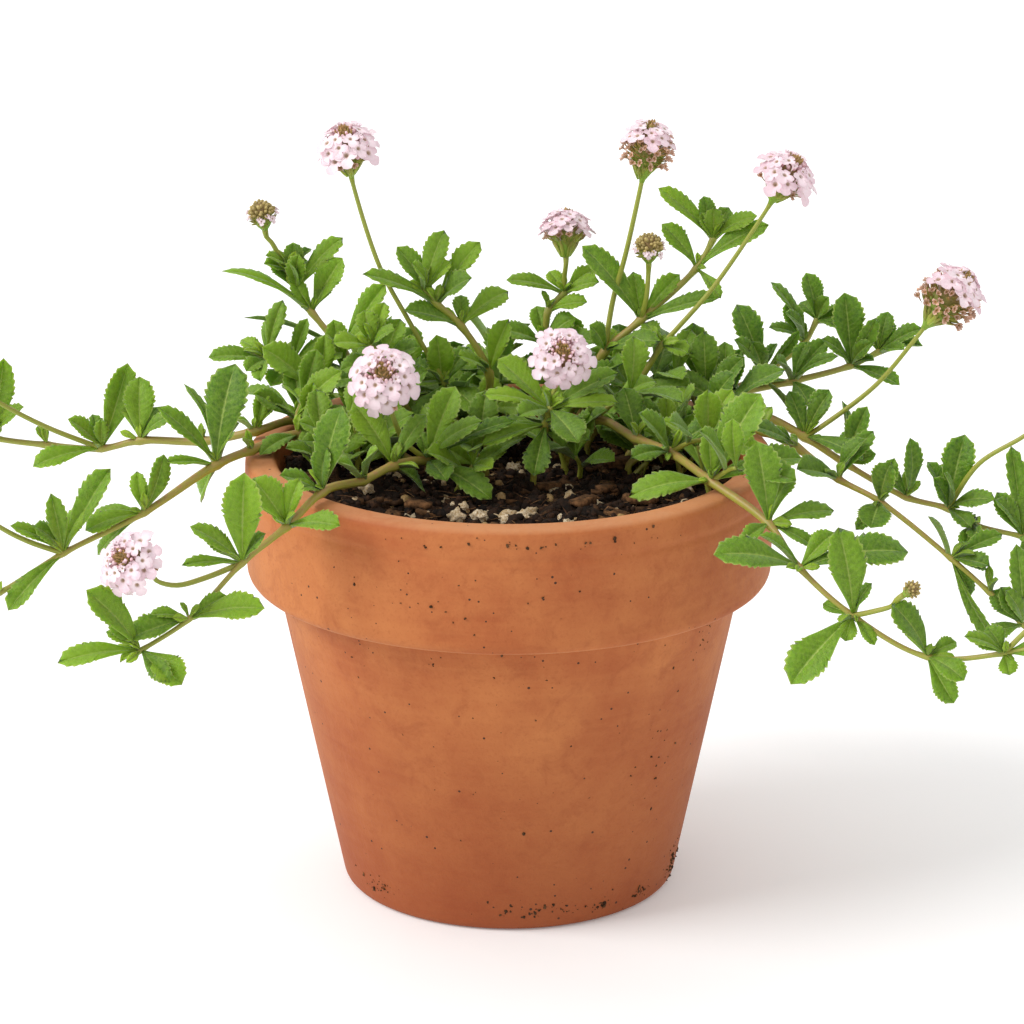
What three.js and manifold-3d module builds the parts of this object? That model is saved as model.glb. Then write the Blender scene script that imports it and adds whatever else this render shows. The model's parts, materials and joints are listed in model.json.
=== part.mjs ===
// A frogfruit plant (Phyla nodiflora, verbena family) in a terracotta pot: creeping stems that root in the
// soil, rise over the rim and trail outside it, with toothed leaves in pairs and round pink flower heads.
// Millimetres, +Z up. The origin is the middle of the pot's underside; -Y is the front.

import * as THREE from 'three';
import { mergeVertices } from 'three/addons/utils/BufferGeometryUtils.js';
import Module from 'manifold-3d';

const wasm = await Module();
wasm.setup();

// ---------------------------------------------------------------- driving dimensions

const GAP = 0.3;              // room between neighbouring pieces

const POT_HEIGHT = 110.5;
const POT_RIM_RADIUS = 65;
const POT_BASE_RADIUS = 41.3;
const POT_WALL = 6.2;
const POT_FLOOR = 8;
const BAND_HEIGHT = 31;       // the collar round the top
const BAND_STEP = 7.7;        // how far the collar stands out from the wall below it
const POT_ROUNDING = 2.6;     // of the pot's lip, foot and collar edge
const DRAIN_RADIUS = 7.5;
const POT_FACETS = 28;

const SOIL_TOP = 100;
const SOIL_RELIEF = 1.1;
const CHIP_COUNT = 11;        // coarse bark and perlite lumps at the surface
const CHIP_RADIUS = 2.6;
const CHIP_SPREAD = 50;       // how far from the middle the lumps lie
const ROOTED = 9;             // length of stem below the surface
const RISE = 3;               // straight length of stem above it
const HOLE_ROOM = 0.7;        // room round a stem in its hole

const RUNNER_GIRTH = 1.15;    // stem radii
const SHOOT_GIRTH = 1.05;
const STALK_GIRTH = 0.8;
const STALK_END = 2;          // length of stalk that stands square to the flower head
const RUNNER_SIDES = 4;
const SHOOT_SIDES = 3;
const HOLE_FACETS = 4;

const RIB_THICKNESS = 0.9;
const PETIOLE_LENGTH = 2.2;
const PETIOLE_WIDTH = 1.2;
const LEAF_FOLD = [9, 27];    // least and most rise of the two halves from the rib, degrees
const LEAF_ARCH = [0.04, 0.11]; // least and most arch, as a share of the leaf's length
const LARGE_LEAF = 9;           // widths from which a leaf carries three or two teeth a side
const MEDIUM_LEAF = 7;

const LIGHT = [0, -0.55, 0.83];      // the way the leaves turn their upper face
const BACK_LIGHT = [0, 0.45, 0.89];
const BACK_ROOT = 36;                // how far from the pot's middle the back runners root
const BACK_STRAY = 4;                // how far a back runner strays from its way at each joint
const UP = new THREE.Vector3(0, 0, 1);

// ---------------------------------------------------------------- the plant

// A joint is the place on a stem where leaves stand. Each leaf is [dx, dy, dz, width, roll]: the way from
// its joint to its tip, its width, and how far the blade is rolled about its rib, in degrees (0 when left
// out). A stalk runs through its route to the foot of a flower head of the given form and size, which faces
// along an axis.
const STEMS = [
  {
    name: 'runner_front_left', root: [-6, 8], girth: RUNNER_GIRTH, joints: [
      {
        at: [-20, -4, 109],
        leaves: [
          [7, 4, 18, 9.5], [14, -6, 12, 7], [5, -11, -2, 8],
          [-2, 2, 7, 4], [22, -2, 11, 5.5], [16, -10, -7, 8],
        ],
        stalk: {
          route: [[-25.5, -8, 115], [-28, -9, 121], [-29.5, -9.7, 128]],
          head: 'open', size: 18, axis: [-0.05, -0.79, 0.61],
        },
      },
      { at: [-28, -15, 111], leaves: [[-10, 4, 15, 9], [8, 4, 12, 6], [7, 8, -9, 6]] },
      { at: [-35, -27, 111], leaves: [[-6, -10, 8, 6], [4, -9, 11, 5]] },
      { at: [-44, -42, 113], leaves: [[5, -2, 22, 9.5], [-10, -6, 6, 6]] },
      { at: [-52, -53, 108], leaves: [[-8, 0, 12, 9], [13, -9, 3, 7]] },
      {
        at: [-62, -62, 102],
        leaves: [[1, -2, 23, 11], [-12, -3, 10, 6], [-14, -5, 1, 4]],
        stalk: {
          route: [[-70.5, -64, 99], [-77, -66.5, 98], [-81.5, -69, 100], [-83.6, -71.1, 103.2]],
          head: 'open', size: 15, axis: [-0.42, -0.74, 0.52],
        },
      },
      { at: [-74, -70, 91], leaves: [[18, -4, 4, 8.5], [-14, -6, -3, 8]] },
      {
        at: [-85, -75, 85],
        leaves: [[-10, -2, 18, 9.5], [10, -7, -6, 9], [-19, -6, -1, 7], [-8, -1, 5, 4]],
      },
    ],
  },
  {
    name: 'runner_left', root: [-24, 14], girth: RUNNER_GIRTH, joints: [
      { at: [-52, 6, 112.5], leaves: [[8, 3, 9, 7], [-9, -14, -1, 6]] },
      { at: [-63, -7, 112.5], leaves: [] },
      {
        at: [-71, -14, 111],
        leaves: [[5, 3, 25, 11.5], [-8, 6, 19, 6, 50], [-14, -4, 16, 6], [-12, -8, 3, 4], [-4, 6, -11, 7]],
      },
      {
        at: [-88, -24, 102],
        leaves: [[5, 3, 14, 6, 45], [-14, -5, -3, 7], [2, 4, 6, 4], [-12, 3, -12, 5]],
      },
      {
        at: [-107, -31, 94],
        leaves: [[12, 2, 21, 8.5], [-2, -5, 17, 6], [-12, -6, 9, 5], [-13, -8, -12, 7]],
        stalk: {
          route: [[-115, -34, 98], [-121, -36, 102], [-130, -38, 110]],
          head: 'young', size: 12, axis: [-0.6, -0.3, 0.75],
        },
      },
      { at: [-122, -37, 86], leaves: [] },
      { at: [-131, -41, 83], leaves: [[-2, 0, 13, 8], [-9, -4, -2, 7], [-5, -4, -10, 7], [-12, 2, 4, 6]] },
    ],
  },
  {
    name: 'runner_left_back', root: [-28, 24], girth: RUNNER_GIRTH, joints: [
      { at: [-52, 20, 112], leaves: [[9, -6, 8, 8], [-2, 8, 12, 8]] },
      { at: [-63, 9, 112.5], leaves: [[4, 5, 18, 6, 30], [16, 8, 21, 9, 30], [-6, -6, 6, 5]] },
      { at: [-76, 12, 109], leaves: [] },
      { at: [-92, 16, 108], leaves: [[0, 3, 16, 8.5], [-5, 6, 10, 4], [9, -4, 8, 5]] },
      {
        at: [-102, 19, 105],
        leaves: [[7, 2, 22, 9, 35], [-8, -4, 9, 6], [-17, -6, -3, 7]],
        stalk: {
          route: [[-115, 17, 111], [-126, 14, 118], [-134, 12, 125]],
          head: 'young', size: 11, axis: [-0.5, -0.2, 0.8],
        },
      },
      { at: [-116, 22, 105], leaves: [] },
      { at: [-130, 25, 106], leaves: [[4, -3, 22, 8, 30], [9, -6, 10, 6], [-11, 3, 9, 7]] },
      { at: [-138, 27, 108], leaves: [[-6, 2, 12, 7], [-10, -2, 1, 7], [-8, -6, -7, 6]] },
    ],
  },
  {
    name: 'runner_front_right', root: [14, 14], girth: RUNNER_GIRTH, joints: [
      { at: [21, 10, 115], leaves: [] },
      { at: [31, -2, 114], leaves: [[-3, 4, 12, 8]] },
      { at: [39, -14, 114], leaves: [[-8, -6, 12, 8], [13, 4, 7, 8], [-10, -8, 1, 6]] },
      {
        at: [48, -34, 113],
        leaves: [[-20, -6, -2, 8.5], [12, 4, 21, 11.5], [-1, -1, 13, 5.5], [11, 2, 3, 5]],
      },
      { at: [61, -48, 107], leaves: [[-3, 2, 20, 10], [16, 4, 2, 6], [11, -3, -5, 4.5]] },
      { at: [68, -57, 99], leaves: [[-21, -8, 6, 10.5], [26, 3, 3, 10]] },
      {
        at: [80, -65, 90],
        leaves: [[-4, 0, 22, 10], [-15, -9, -14, 11], [-2, -4, -5, 5], [5, -4, -6, 4]],
        stalk: {
          route: [[84, -68, 92], [88.5, -71, 94.5], [90.7, -73.3, 97.8]],
          head: 'bud', size: 5.5, axis: [0.7, -0.3, 0.65],
        },
      },
      { at: [97, -71, 82], leaves: [[-9, -2, 14, 8.5], [8, -8, -3, 7], [7, 2, 3, 5]] },
      {
        at: [114, -77, 85],
        leaves: [[-10, -5, 6, 5], [1, -4, -4, 5], [-4, 2, 6, 6]],
        stalk: {
          route: [[118, -78, 90], [124, -78, 96], [128, -77, 103]],
          head: 'young', size: 10, axis: [0.4, -0.3, 0.85],
        },
      },
      { at: [122, -80, 88], leaves: [[8, 2, 10, 8], [11, -3, 0, 8], [4, -5, -9, 7]] },
    ],
  },
  {
    name: 'runner_right', root: [30, 12], girth: RUNNER_GIRTH, joints: [
      { at: [54, 14, 112.5], leaves: [[-9, -8, 4, 8]] },
      { at: [63, 9, 112.5], leaves: [] },
      { at: [71, 5, 109.5], leaves: [[-13, -8, 8, 6]] },
      { at: [81, 0, 103], leaves: [[-11, -8, 5, 9.5], [9, 5, 11, 6]] },
      { at: [91, -6, 99], leaves: [[-3, -9, -4, 9], [2, -5, 12, 8]] },
      {
        at: [108, -14, 87],
        leaves: [[11, -6, -20, 5, 60], [9, -6, 0, 6.5], [-6, 0, 11, 5, 60], [13, 4, 5, 6]],
      },
      { at: [117, -19, 80], leaves: [] },
      { at: [125, -23, 73], leaves: [[-5, -3, 10, 6], [-2, 3, 20, 6], [-10, -8, -1, 6]] },
      { at: [133, -27, 67], leaves: [[10, 2, 10, 8], [11, -3, -1, 8], [1, -6, -10, 7]] },
    ],
  },
  {
    name: 'runner_right_outer', root: [30, 20], girth: RUNNER_GIRTH, joints: [
      { at: [50, 20, 113], leaves: [[6, -5, 13, 8]] },
      { at: [62, 20.5, 113.5], leaves: [] },
      {
        at: [74, 19, 108],
        leaves: [[-4, 4, 11, 6], [6, 2, 12, 7], [14, -14, -2, 6.5], [-11, 6, 14, 4.5, 60]],
        stalk: {
          route: [[78, 18, 111], [91, 14, 123], [100, 11, 135.5], [104.3, 9.9, 141.7]],
          head: 'open', size: 17, axis: [0.55, -0.25, 0.8],
        },
      },
      { at: [84, 16, 102], leaves: [[-1, 2, 16, 4.5, 60], [5, -3, 16, 7]] },
      { at: [99, 10, 95], leaves: [[0, -4, 17, 6, 30]] },
      {
        at: [109, 7, 93],
        leaves: [[4, 2, 19, 9.5], [-2, -8, 12, 4], [11, -8, 5, 6.5], [5, -10, -2, 6]],
        stalk: {
          route: [[116, 3, 106], [127, 1, 114], [135, 0, 122]],
          head: 'young', size: 12, axis: [0.5, -0.3, 0.8],
        },
      },
      { at: [115, 4, 90], leaves: [[-3, -9, -4, 5]] },
      { at: [127, 0, 88], leaves: [[-3, 2, 11, 6], [-3, 6, 22, 6], [1, -6, -9, 6]] },
      { at: [137, -3, 86], leaves: [[8, 2, 11, 8], [11, -3, 0, 8], [4, -6, -9, 6]] },
    ],
  },
  {
    name: 'shoot_right_back', root: [30, 38], girth: SHOOT_GIRTH, joints: [
      { at: [44, 36, 113], leaves: [[-8, -5, 9, 8]] },
      { at: [55, 44, 112.5], leaves: [[-9, 4, 12, 8], [4, -4, 9, 8.5], [-8, -10, 1, 6]] },
      { at: [65, 48, 116], leaves: [[-7, 3, 18, 8.5], [-8, -6, 11, 6.5], [9, -4, 13, 4, 60]] },
      { at: [76, 54, 123], leaves: [[-9, 4, 15, 6, 30], [-10, -8, 6, 5]] },
      { at: [79, 56, 128], leaves: [[3, -2, 7, 6], [6, -6, 0, 5], [-4, 4, 4, 4.5], [8, 6, 1, 5]] },
    ],
  },
  {
    name: 'shoot_right', root: [37, 31], girth: SHOOT_GIRTH, joints: [
      { at: [48, 28, 112.5], leaves: [[-10, -8, 5, 8]] },
      { at: [57, 33, 115], leaves: [[2, -7, 12, 7.5]] },
      { at: [72, 38, 117], leaves: [[9, 4, 10, 6.5], [-5, -8, 8, 6], [11, -8, 9, 4.5], [4, -10, -4, 7]] },
      {
        at: [87, 42, 120],
        leaves: [[-2, 2, 19, 9.5], [6, -4, 14, 5.5, 40], [12, -8, -3, 6], [-8, -3, 8, 5]],
      },
      { at: [94, 44, 123], leaves: [[11, -2, 7, 6], [4, 4, 7, 5], [6, -8, 3, 5], [-3, 3, 6, 5]] },
    ],
  },
  {
    name: 'shoot_right_tall', root: [12, 34], girth: SHOOT_GIRTH, joints: [
      { at: [17, 32, 114], leaves: [[14, -7, 3, 8.4], [-7, -10, 3, 8]] },
      {
        at: [24, 30, 127],
        leaves: [[-4, -3, 8, 7], [14, -8, 5, 7.5], [4, 5, 4, 6]],
        stalk: {
          route: [[26, 31, 140], [29, 30, 152], [33.4, 28.1, 174.5]],
          head: 'faded', size: 14.5, axis: [0.15, -0.15, 0.98],
        },
      },
      {
        at: [33, 31, 135],
        leaves: [[-15, 2, 19, 8.5], [20, -4, 7, 6.5], [10, 4, 11, 6.5], [-2, 3, 12, 5.5]],
        stalk: {
          route: [[34.3, 29.5, 141], [34.8, 29, 150.3]],
          head: 'young', size: 9.5, axis: [0, -0.25, 0.97],
        },
      },
      { at: [47, 33, 148], leaves: [[-9, 2, 11, 6.5], [18, -3, 12, 7.5], [4, -10, -6, 4]] },
      { at: [51, 34, 155], leaves: [[-14, 2, 13, 6.5], [0, -2, 9, 5.5], [4, 2, 8, 6], [11, -3, 7, 6]] },
    ],
  },
  {
    name: 'shoot_mid', root: [-6, 30], girth: SHOOT_GIRTH, joints: [
      { at: [-6, 28, 112], leaves: [[12, -9, 3, 8], [-13, -8, 5, 8]] },
      { at: [-5, 24, 123], leaves: [[5, -2, 15, 7], [-8, -8, 7, 6]] },
      { at: [-12, 22, 136], leaves: [[-15, -2, 3, 7], [12, 4, 8, 7.5], [0, 4, 7, 5]] },
      { at: [-18, 21, 142], leaves: [[-10, 3, 14, 7], [9, -5, 8, 8.5], [11, 4, 15, 7], [-20, -1, 9, 6]] },
      { at: [-21, 21, 145], leaves: [[5, 4, 15, 7], [-3, -6, 9, 6], [7, 0, 8, 5]] },
    ],
  },
  {
    name: 'shoot_left_tall', root: [-20, 38], girth: SHOOT_GIRTH, joints: [
      { at: [-35, 34, 117], leaves: [[13, -4, 7, 8.4], [-11, -8, 4, 8]] },
      {
        at: [-42, 38, 125],
        leaves: [[-25, -4, 10, 4.5, 50], [-5, -8, -1, 7], [11, 3, 17, 7.5], [8, -4, 8, 6]],
      },
      { at: [-50, 42, 134], leaves: [[-23, 0, 11, 5.5, 25], [8, 2, 14, 9]] },
      { at: [-54, 44, 139], leaves: [[-6, 3, 9, 7.5], [1, -4, 11, 6], [12, 5, 13, 6.5]] },
      {
        at: [-56, 45, 144],
        leaves: [[-6, -4, 3, 5], [5, 3, 2, 5]],
        stalk: {
          route: [[-58, 44, 148], [-60, 43.3, 152], [-61.5, 42.8, 155.3]],
          head: 'young', size: 9.5, axis: [-0.15, -0.2, 0.97],
        },
      },
    ],
  },
  {
    name: 'shoot_left_low', root: [-32, 32], girth: SHOOT_GIRTH, joints: [
      { at: [-48, 32, 114], leaves: [[-8, -6, 9, 7], [4, -8, 4, 6]] },
      { at: [-55, 34, 122], leaves: [[5, 3, 12, 5], [-5, -8, -3, 7], [13, 2, 4, 6]] },
      { at: [-61, 34, 124], leaves: [[-15, -2, 1, 6.5], [5, 3, 15, 5.5], [-7, 4, 4, 5], [-5, -8, -1, 6]] },
    ],
  },
  {
    name: 'shoot_left_mid', root: [-12, 26], girth: SHOOT_GIRTH, joints: [
      {
        at: [-16, 22, 121],
        leaves: [[-10, 4, 4, 6.5], [6, 6, 8, 6.5], [9, -10, -5, 8], [-7, -9, -9, 8]],
        stalk: {
          route: [[-25, 20, 138], [-32, 19, 152], [-38.7, 17, 175.9]],
          head: 'open', size: 15.5, axis: [-0.12, -0.3, 0.95],
        },
      },
    ],
  },
  {
    name: 'shoot_right_mid', root: [20, 30], girth: SHOOT_GIRTH, joints: [
      {
        at: [31, 26, 118],
        leaves: [[-7, -8, -4, 7], [9, 4, -3, 6.5], [4, -10, -6, 6], [15, -7, 3, 8.4], [-11, -4, 7, 8]],
      },
      {
        at: [38, 25, 130],
        leaves: [[-5, 6, 4, 5.5], [7, -4, -1, 6]],
        stalk: {
          route: [[43, 24, 136], [51, 23, 146], [64.8, 20.7, 168.4]],
          head: 'open', size: 15.5, axis: [0.42, -0.25, 0.87],
        },
      },
    ],
  },
  {
    name: 'tuft_centre', root: [6, 2], girth: SHOOT_GIRTH, joints: [
      {
        at: [9, 0, 117],
        leaves: [[-16, -8, -3, 6], [-3, -8, -11, 8], [11, -7, -2, 6.5], [-11, -2, -3, 6]],
      },
      {
        at: [10, -1, 121],
        leaves: [
          [-13, 4, 12, 9], [-17, -4, 5, 5.5], [17, 2, 9, 7.5], [17, -4, 3, 5.5],
          [7, -12, -5, 9.5], [-8, -9, 1, 7], [6, 6, 5, 6],
        ],
        stalk: {
          route: [[10.8, -1.2, 125], [12.5, -2.1, 131.6]],
          head: 'open', size: 17, axis: [0.03, -0.79, 0.61],
        },
      },
    ],
  },
  {
    name: 'tuft_back', root: [2, 46], girth: SHOOT_GIRTH, joints: [
      { at: [5, 45, 114], leaves: [[14, -6, 4, 8], [-14, -5, 4, 8]] },
      { at: [9, 44, 125], leaves: [[-11, -4, 5, 7.5], [8, -3, 8, 8], [-2, 5, 9, 6], [14, -8, 3, 7]] },
      { at: [10, 44, 134], leaves: [[-9, -2, 3, 6], [2, -3, 9, 6.5], [10, -3, 3, 6], [-7, -8, -1, 7]] },
      {
        at: [14, 46, 138],
        leaves: [[-15, -2, 4, 5.5], [8, 2, 6, 6], [9, -4, 4, 6.5], [-4, 3, 5, 5]],
        stalk: {
          route: [[14, 46, 142], [14.4, 46.1, 147.6]],
          head: 'open', size: 14, axis: [0, 0.3, 0.95],
        },
      },
    ],
  },
  {
    name: 'tuft_left', root: [-18, 22], girth: SHOOT_GIRTH, joints: [
      { at: [-27, 18, 118], leaves: [[7, -4, 9, 7], [-9, -6, 3, 7], [-14, -12, -5, 7]] },
      { at: [-31, 17, 128], leaves: [[9, -3, 5, 7], [-11, -4, -1, 7], [4, 5, 10, 7]] },
      { at: [-34, 17, 132], leaves: [[-2, 2, 9, 6.5], [-10, -4, 2, 6.5], [6, -6, 6, 6], [3, 6, 10, 5.5]] },
    ],
  },
  backRunner('runner_back_left', 122),
  backRunner('runner_back', 92),
  backRunner('runner_back_right', 64),
];

/** A runner that trails over the back of the pot at the given azimuth, with crossed pairs of leaves. */
function backRunner(name, azimuth) {
  const distances = [50, 64, 72, 77, 79];
  const heights = [113, 113.5, 107, 95, 80];
  const out = new THREE.Vector3(1, 0, 0).applyAxisAngle(UP, THREE.MathUtils.degToRad(azimuth));
  const across = new THREE.Vector3().crossVectors(UP, out);
  const place = (along, sideways) => out.clone().multiplyScalar(along).addScaledVector(across, sideways);
  const level = (along, sideways) => place(along, sideways).toArray().slice(0, 2);
  const leaf = (along, sideways, rise, width) => [...level(along, sideways), rise, width];
  return {
    name, root: level(BACK_ROOT, 0), girth: RUNNER_GIRTH, light: BACK_LIGHT,
    joints: distances.map((distance, i) => {
      const stray = BACK_STRAY * (scatter(azimuth + i) - 0.5);
      const side = i % 2 === 0 ? [13, 5] : [8, 12];
      return {
        at: [...level(distance, stray * i), heights[i]],
        leaves: [
          leaf(4 + stray, side[0], side[1] + stray, 8),
          leaf(4 - stray, -side[0] - stray, side[1] - stray, 8.4),
        ],
      };
    }),
  };
}

// ---------------------------------------------------------------- materials

const TERRACOTTA = new THREE.MeshStandardMaterial({ color: '#c4764c', roughness: 0.85, metalness: 0 });
const POTTING_SOIL = new THREE.MeshStandardMaterial({ color: '#2e211a', roughness: 1, metalness: 0 });
const FOLIAGE = new THREE.MeshStandardMaterial({ color: '#4f8a35', roughness: 0.55, metalness: 0 });
const PETALS = new THREE.MeshStandardMaterial({ color: '#efdde6', roughness: 0.6, metalness: 0 });
const BUDS = new THREE.MeshStandardMaterial({ color: '#8c7a4a', roughness: 0.7, metalness: 0 });

// ---------------------------------------------------------------- solids and meshes

const vec = (xyz) => new THREE.Vector3(...xyz);

/** A solid from a list of points and a list of corner triples. */
function solidFromFaces(points, corners) {
  const mesh = new wasm.Mesh({
    numProp: 3,
    vertProperties: new Float32Array(points.flatMap((p) => [p.x, p.y, p.z])),
    triVerts: new Uint32Array(corners.flat()),
  });
  return new wasm.Manifold(mesh);
}

/** A solid from a closed three.js geometry. */
function solidFromGeometry(geometry) {
  geometry.deleteAttribute('normal');
  geometry.deleteAttribute('uv');
  const merged = mergeVertices(geometry, 1e-4);
  const place = merged.attributes.position;
  const pointAt = (_, i) => new THREE.Vector3().fromBufferAttribute(place, i);
  const points = Array.from({ length: place.count }, pointAt);
  const corners = [];
  for (let i = 0; i < merged.index.count; i += 3) {
    const triple = [0, 1, 2].map((k) => merged.index.getX(i + k));
    if (new Set(triple).size === 3) corners.push(triple);
  }
  return solidFromFaces(points, corners);
}

/** The outermost body of a solid: sealed hollows are filled and loose scraps dropped. */
function oneBody(solid) {
  const bodies = solid.decompose();
  return bodies.reduce((largest, body) => (body.volume() > largest.volume() ? body : largest));
}

/** A named mesh of a solid. */
function meshOf(name, solid, material) {
  const { vertProperties, triVerts, numProp } = solid.getMesh();
  const geometry = new THREE.BufferGeometry();
  const place = new Float32Array((vertProperties.length / numProp) * 3);
  for (let i = 0; i < place.length / 3; i += 1) {
    place.set(vertProperties.subarray(i * numProp, i * numProp + 3), i * 3);
  }
  geometry.setAttribute('position', new THREE.BufferAttribute(place, 3));
  geometry.setIndex(new THREE.BufferAttribute(new Uint32Array(triVerts), 1));
  geometry.computeVertexNormals();
  const mesh = new THREE.Mesh(geometry, material);
  mesh.name = name;
  return mesh;
}

/** A tube of a regular section along a smooth curve through the points. */
function tube(points, radius, sides, steps) {
  const section = new THREE.Shape(Array.from({ length: sides }, (_, i) => {
    const angle = (i / sides) * 2 * Math.PI;
    return new THREE.Vector2(radius * Math.cos(angle), radius * Math.sin(angle));
  }));
  const extrudePath = new THREE.CatmullRomCurve3(points);
  return solidFromGeometry(new THREE.ExtrudeGeometry(section, { extrudePath, steps, bevelEnabled: false }));
}

/** A solid turned from a profile of [radius, height] points about Z. */
function turned(profile, facets) {
  const geometry = new THREE.LatheGeometry(profile.map(([r, z]) => new THREE.Vector2(r, z)), facets);
  return geometry.rotateX(Math.PI / 2);
}

// ---------------------------------------------------------------- pot and soil

/** The pot: a tapered wall under a straight collar, with a drain hole in its floor. */
function makePot() {
  const bandFoot = POT_HEIGHT - BAND_HEIGHT;
  const lipInside = innerRadius(POT_HEIGHT);
  const profile = [
    [DRAIN_RADIUS, 0],
    [POT_BASE_RADIUS - POT_ROUNDING, 0],
    [POT_BASE_RADIUS, POT_ROUNDING],
    [POT_RIM_RADIUS - BAND_STEP, bandFoot - POT_ROUNDING / 2],
    [POT_RIM_RADIUS - POT_ROUNDING, bandFoot],
    [POT_RIM_RADIUS - POT_ROUNDING / 6, bandFoot + POT_ROUNDING],
    [POT_RIM_RADIUS, POT_HEIGHT - 1.5 * POT_ROUNDING],
    [POT_RIM_RADIUS - POT_ROUNDING / 4, POT_HEIGHT - POT_ROUNDING / 2],
    [POT_RIM_RADIUS - POT_ROUNDING, POT_HEIGHT],
    [lipInside + POT_ROUNDING / 2, POT_HEIGHT],
    [lipInside, POT_HEIGHT - POT_ROUNDING / 2],
    [innerRadius(POT_FLOOR), POT_FLOOR],
    [DRAIN_RADIUS, POT_FLOOR],
    [DRAIN_RADIUS, 0],
  ];
  return solidFromGeometry(turned(profile, POT_FACETS));
}

/** The inside radius of the pot at a height. */
function innerRadius(height) {
  const foot = POT_BASE_RADIUS - POT_WALL;
  const top = POT_RIM_RADIUS - POT_WALL - POT_ROUNDING / 2;
  return foot + (top - foot) * ((height - POT_FLOOR) / (POT_HEIGHT - POT_FLOOR));
}

/** How far the soil's surface stands above its level at a place. */
function soilRelief(x, y) {
  const swell = Math.sin(x * 0.21 + 1.3) * Math.cos(y * 0.17 - 0.4);
  return SOIL_RELIEF * (swell + 0.5 * Math.sin(x * 0.53 - y * 0.47));
}

/** The potting soil: it fills the pot, and coarse lumps stand out of its uneven surface. */
function makeSoil(stems, stemSolids) {
  const foot = POT_FLOOR + GAP;
  const brim = innerRadius(SOIL_TOP) - GAP;
  const profile = [
    [0, foot],
    [innerRadius(foot) - GAP, foot],
    [brim, SOIL_TOP],
    ...[0.7, 0.36].map((share) => [brim * share, SOIL_TOP]),
    [0, SOIL_TOP],
  ];
  const geometry = turned(profile, POT_FACETS / 2);
  const place = geometry.attributes.position;
  for (let i = 0; i < place.count; i += 1) {
    const [x, y, z] = [place.getX(i), place.getY(i), place.getZ(i)];
    const inside = Math.hypot(x, y) < brim * 0.9;
    if (inside && z > SOIL_TOP - 1) place.setZ(i, z + soilRelief(x, y));
  }
  const lumps = lumpPlaces().map(soilLump).filter((lump) => isClear(lump, 'soil', stemSolids));
  const heaped = lumps.reduce((sum, lump) => sum.add(lump), solidFromGeometry(geometry));
  return oneBody(stems.map(makeHole).reduce((rest, hole) => rest.subtract(hole), heaped));
}

/** The places of the coarse lumps, spread evenly by the golden angle. */
function lumpPlaces() {
  const goldenAngle = Math.PI * (3 - Math.sqrt(5));
  return Array.from({ length: CHIP_COUNT }, (_, i) => {
    const reach = CHIP_SPREAD * Math.sqrt((i + 0.5) / CHIP_COUNT);
    return [reach * Math.cos(i * goldenAngle), reach * Math.sin(i * goldenAngle)];
  });
}

/** One coarse lump, half sunk in the surface. */
function soilLump([x, y], index) {
  const geometry = new THREE.IcosahedronGeometry(CHIP_RADIUS * (0.7 + 0.5 * scatter(index)), 0);
  geometry.scale(1.3, 0.9, 0.7);
  geometry.rotateZ(index * 1.7);
  return solidFromGeometry(geometry.translate(x, y, SOIL_TOP + soilRelief(x, y)));
}

/** A number from 0 to 1 that is always the same for the same index. */
function scatter(index) {
  const wave = Math.sin((index + 1) * 12.9898) * 43758.5453;
  return wave - Math.floor(wave);
}

// ---------------------------------------------------------------- stems and stalks

/** The points of a stem, from its foot in the soil through its joints to just beyond the last one. */
function stemPoints(stem) {
  const foot = [-ROOTED, -1, RISE].map((height) => vec([...stem.root, SOIL_TOP + height]));
  const points = [...foot, ...stem.joints.map(({ at }) => vec(at))];
  const [before, last] = points.slice(-2);
  return [...points, last.clone().add(last.clone().sub(before).setLength(1.5 * stem.girth))];
}

/** A stem with the stalks of its flower heads. */
function makeStem(stem) {
  const stalks = stem.joints.filter(({ stalk }) => stalk).map(({ at, stalk }) => {
    const foot = vec(stalk.route.at(-1));
    const approach = foot.clone().addScaledVector(vec(stalk.axis).normalize(), -STALK_END);
    const points = [...[at, ...stalk.route.slice(0, -1)].map(vec), approach, foot];
    return tube(points, STALK_GIRTH, SHOOT_SIDES, 1 + points.length);
  });
  const sides = stem.girth === RUNNER_GIRTH ? RUNNER_SIDES : SHOOT_SIDES;
  const steps = stem.joints.length + 5;
  return stalks.reduce((sum, stalk) => sum.add(stalk), tube(stemPoints(stem), stem.girth, sides, steps));
}

/** The hole that a stem stands in. */
function makeHole({ root: [x, y], girth }) {
  const depth = ROOTED + GAP + RISE;
  const radius = (girth + HOLE_ROOM) * Math.SQRT2;
  const geometry = new THREE.CylinderGeometry(radius, radius, depth, HOLE_FACETS);
  return solidFromGeometry(geometry.rotateX(Math.PI / 2).translate(x, y, SOIL_TOP + RISE - depth / 2));
}

// ---------------------------------------------------------------- leaves

// Half an outline, from above the petiole to the tip: [share of the length, share of the half width], with a
// notch after each tooth but the last, and the place of the rib's thickest corner.
const LEAF_OUTLINES = {
  large: {
    side: [[0.42, 0.72], [0.58, 1], [0.62, 0.88], [0.76, 0.92], [0.8, 0.72], [0.91, 0.58]],
    rib: 0.62,
  },
  medium: { side: [[0.54, 1], [0.62, 0.82], [0.81, 0.78]], rib: 0.58 },
  small: { side: [[0.56, 1], [0.76, 0.74]], rib: 0.55 },
};

/** The outline for a leaf of a width. */
function outlineFor(width) {
  if (width >= LARGE_LEAF) return LEAF_OUTLINES.large;
  return width >= MEDIUM_LEAF ? LEAF_OUTLINES.medium : LEAF_OUTLINES.small;
}

/** The axes of a leaf: along the rib, across the blade, and out of its upper face. */
function leafAxes(way, light, roll) {
  const along = way.clone().normalize();
  const face = vec(light).addScaledVector(along, -along.dot(vec(light))).normalize();
  face.applyAxisAngle(along, THREE.MathUtils.degToRad(roll));
  return { along, face, across: new THREE.Vector3().crossVectors(face, along) };
}

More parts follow.
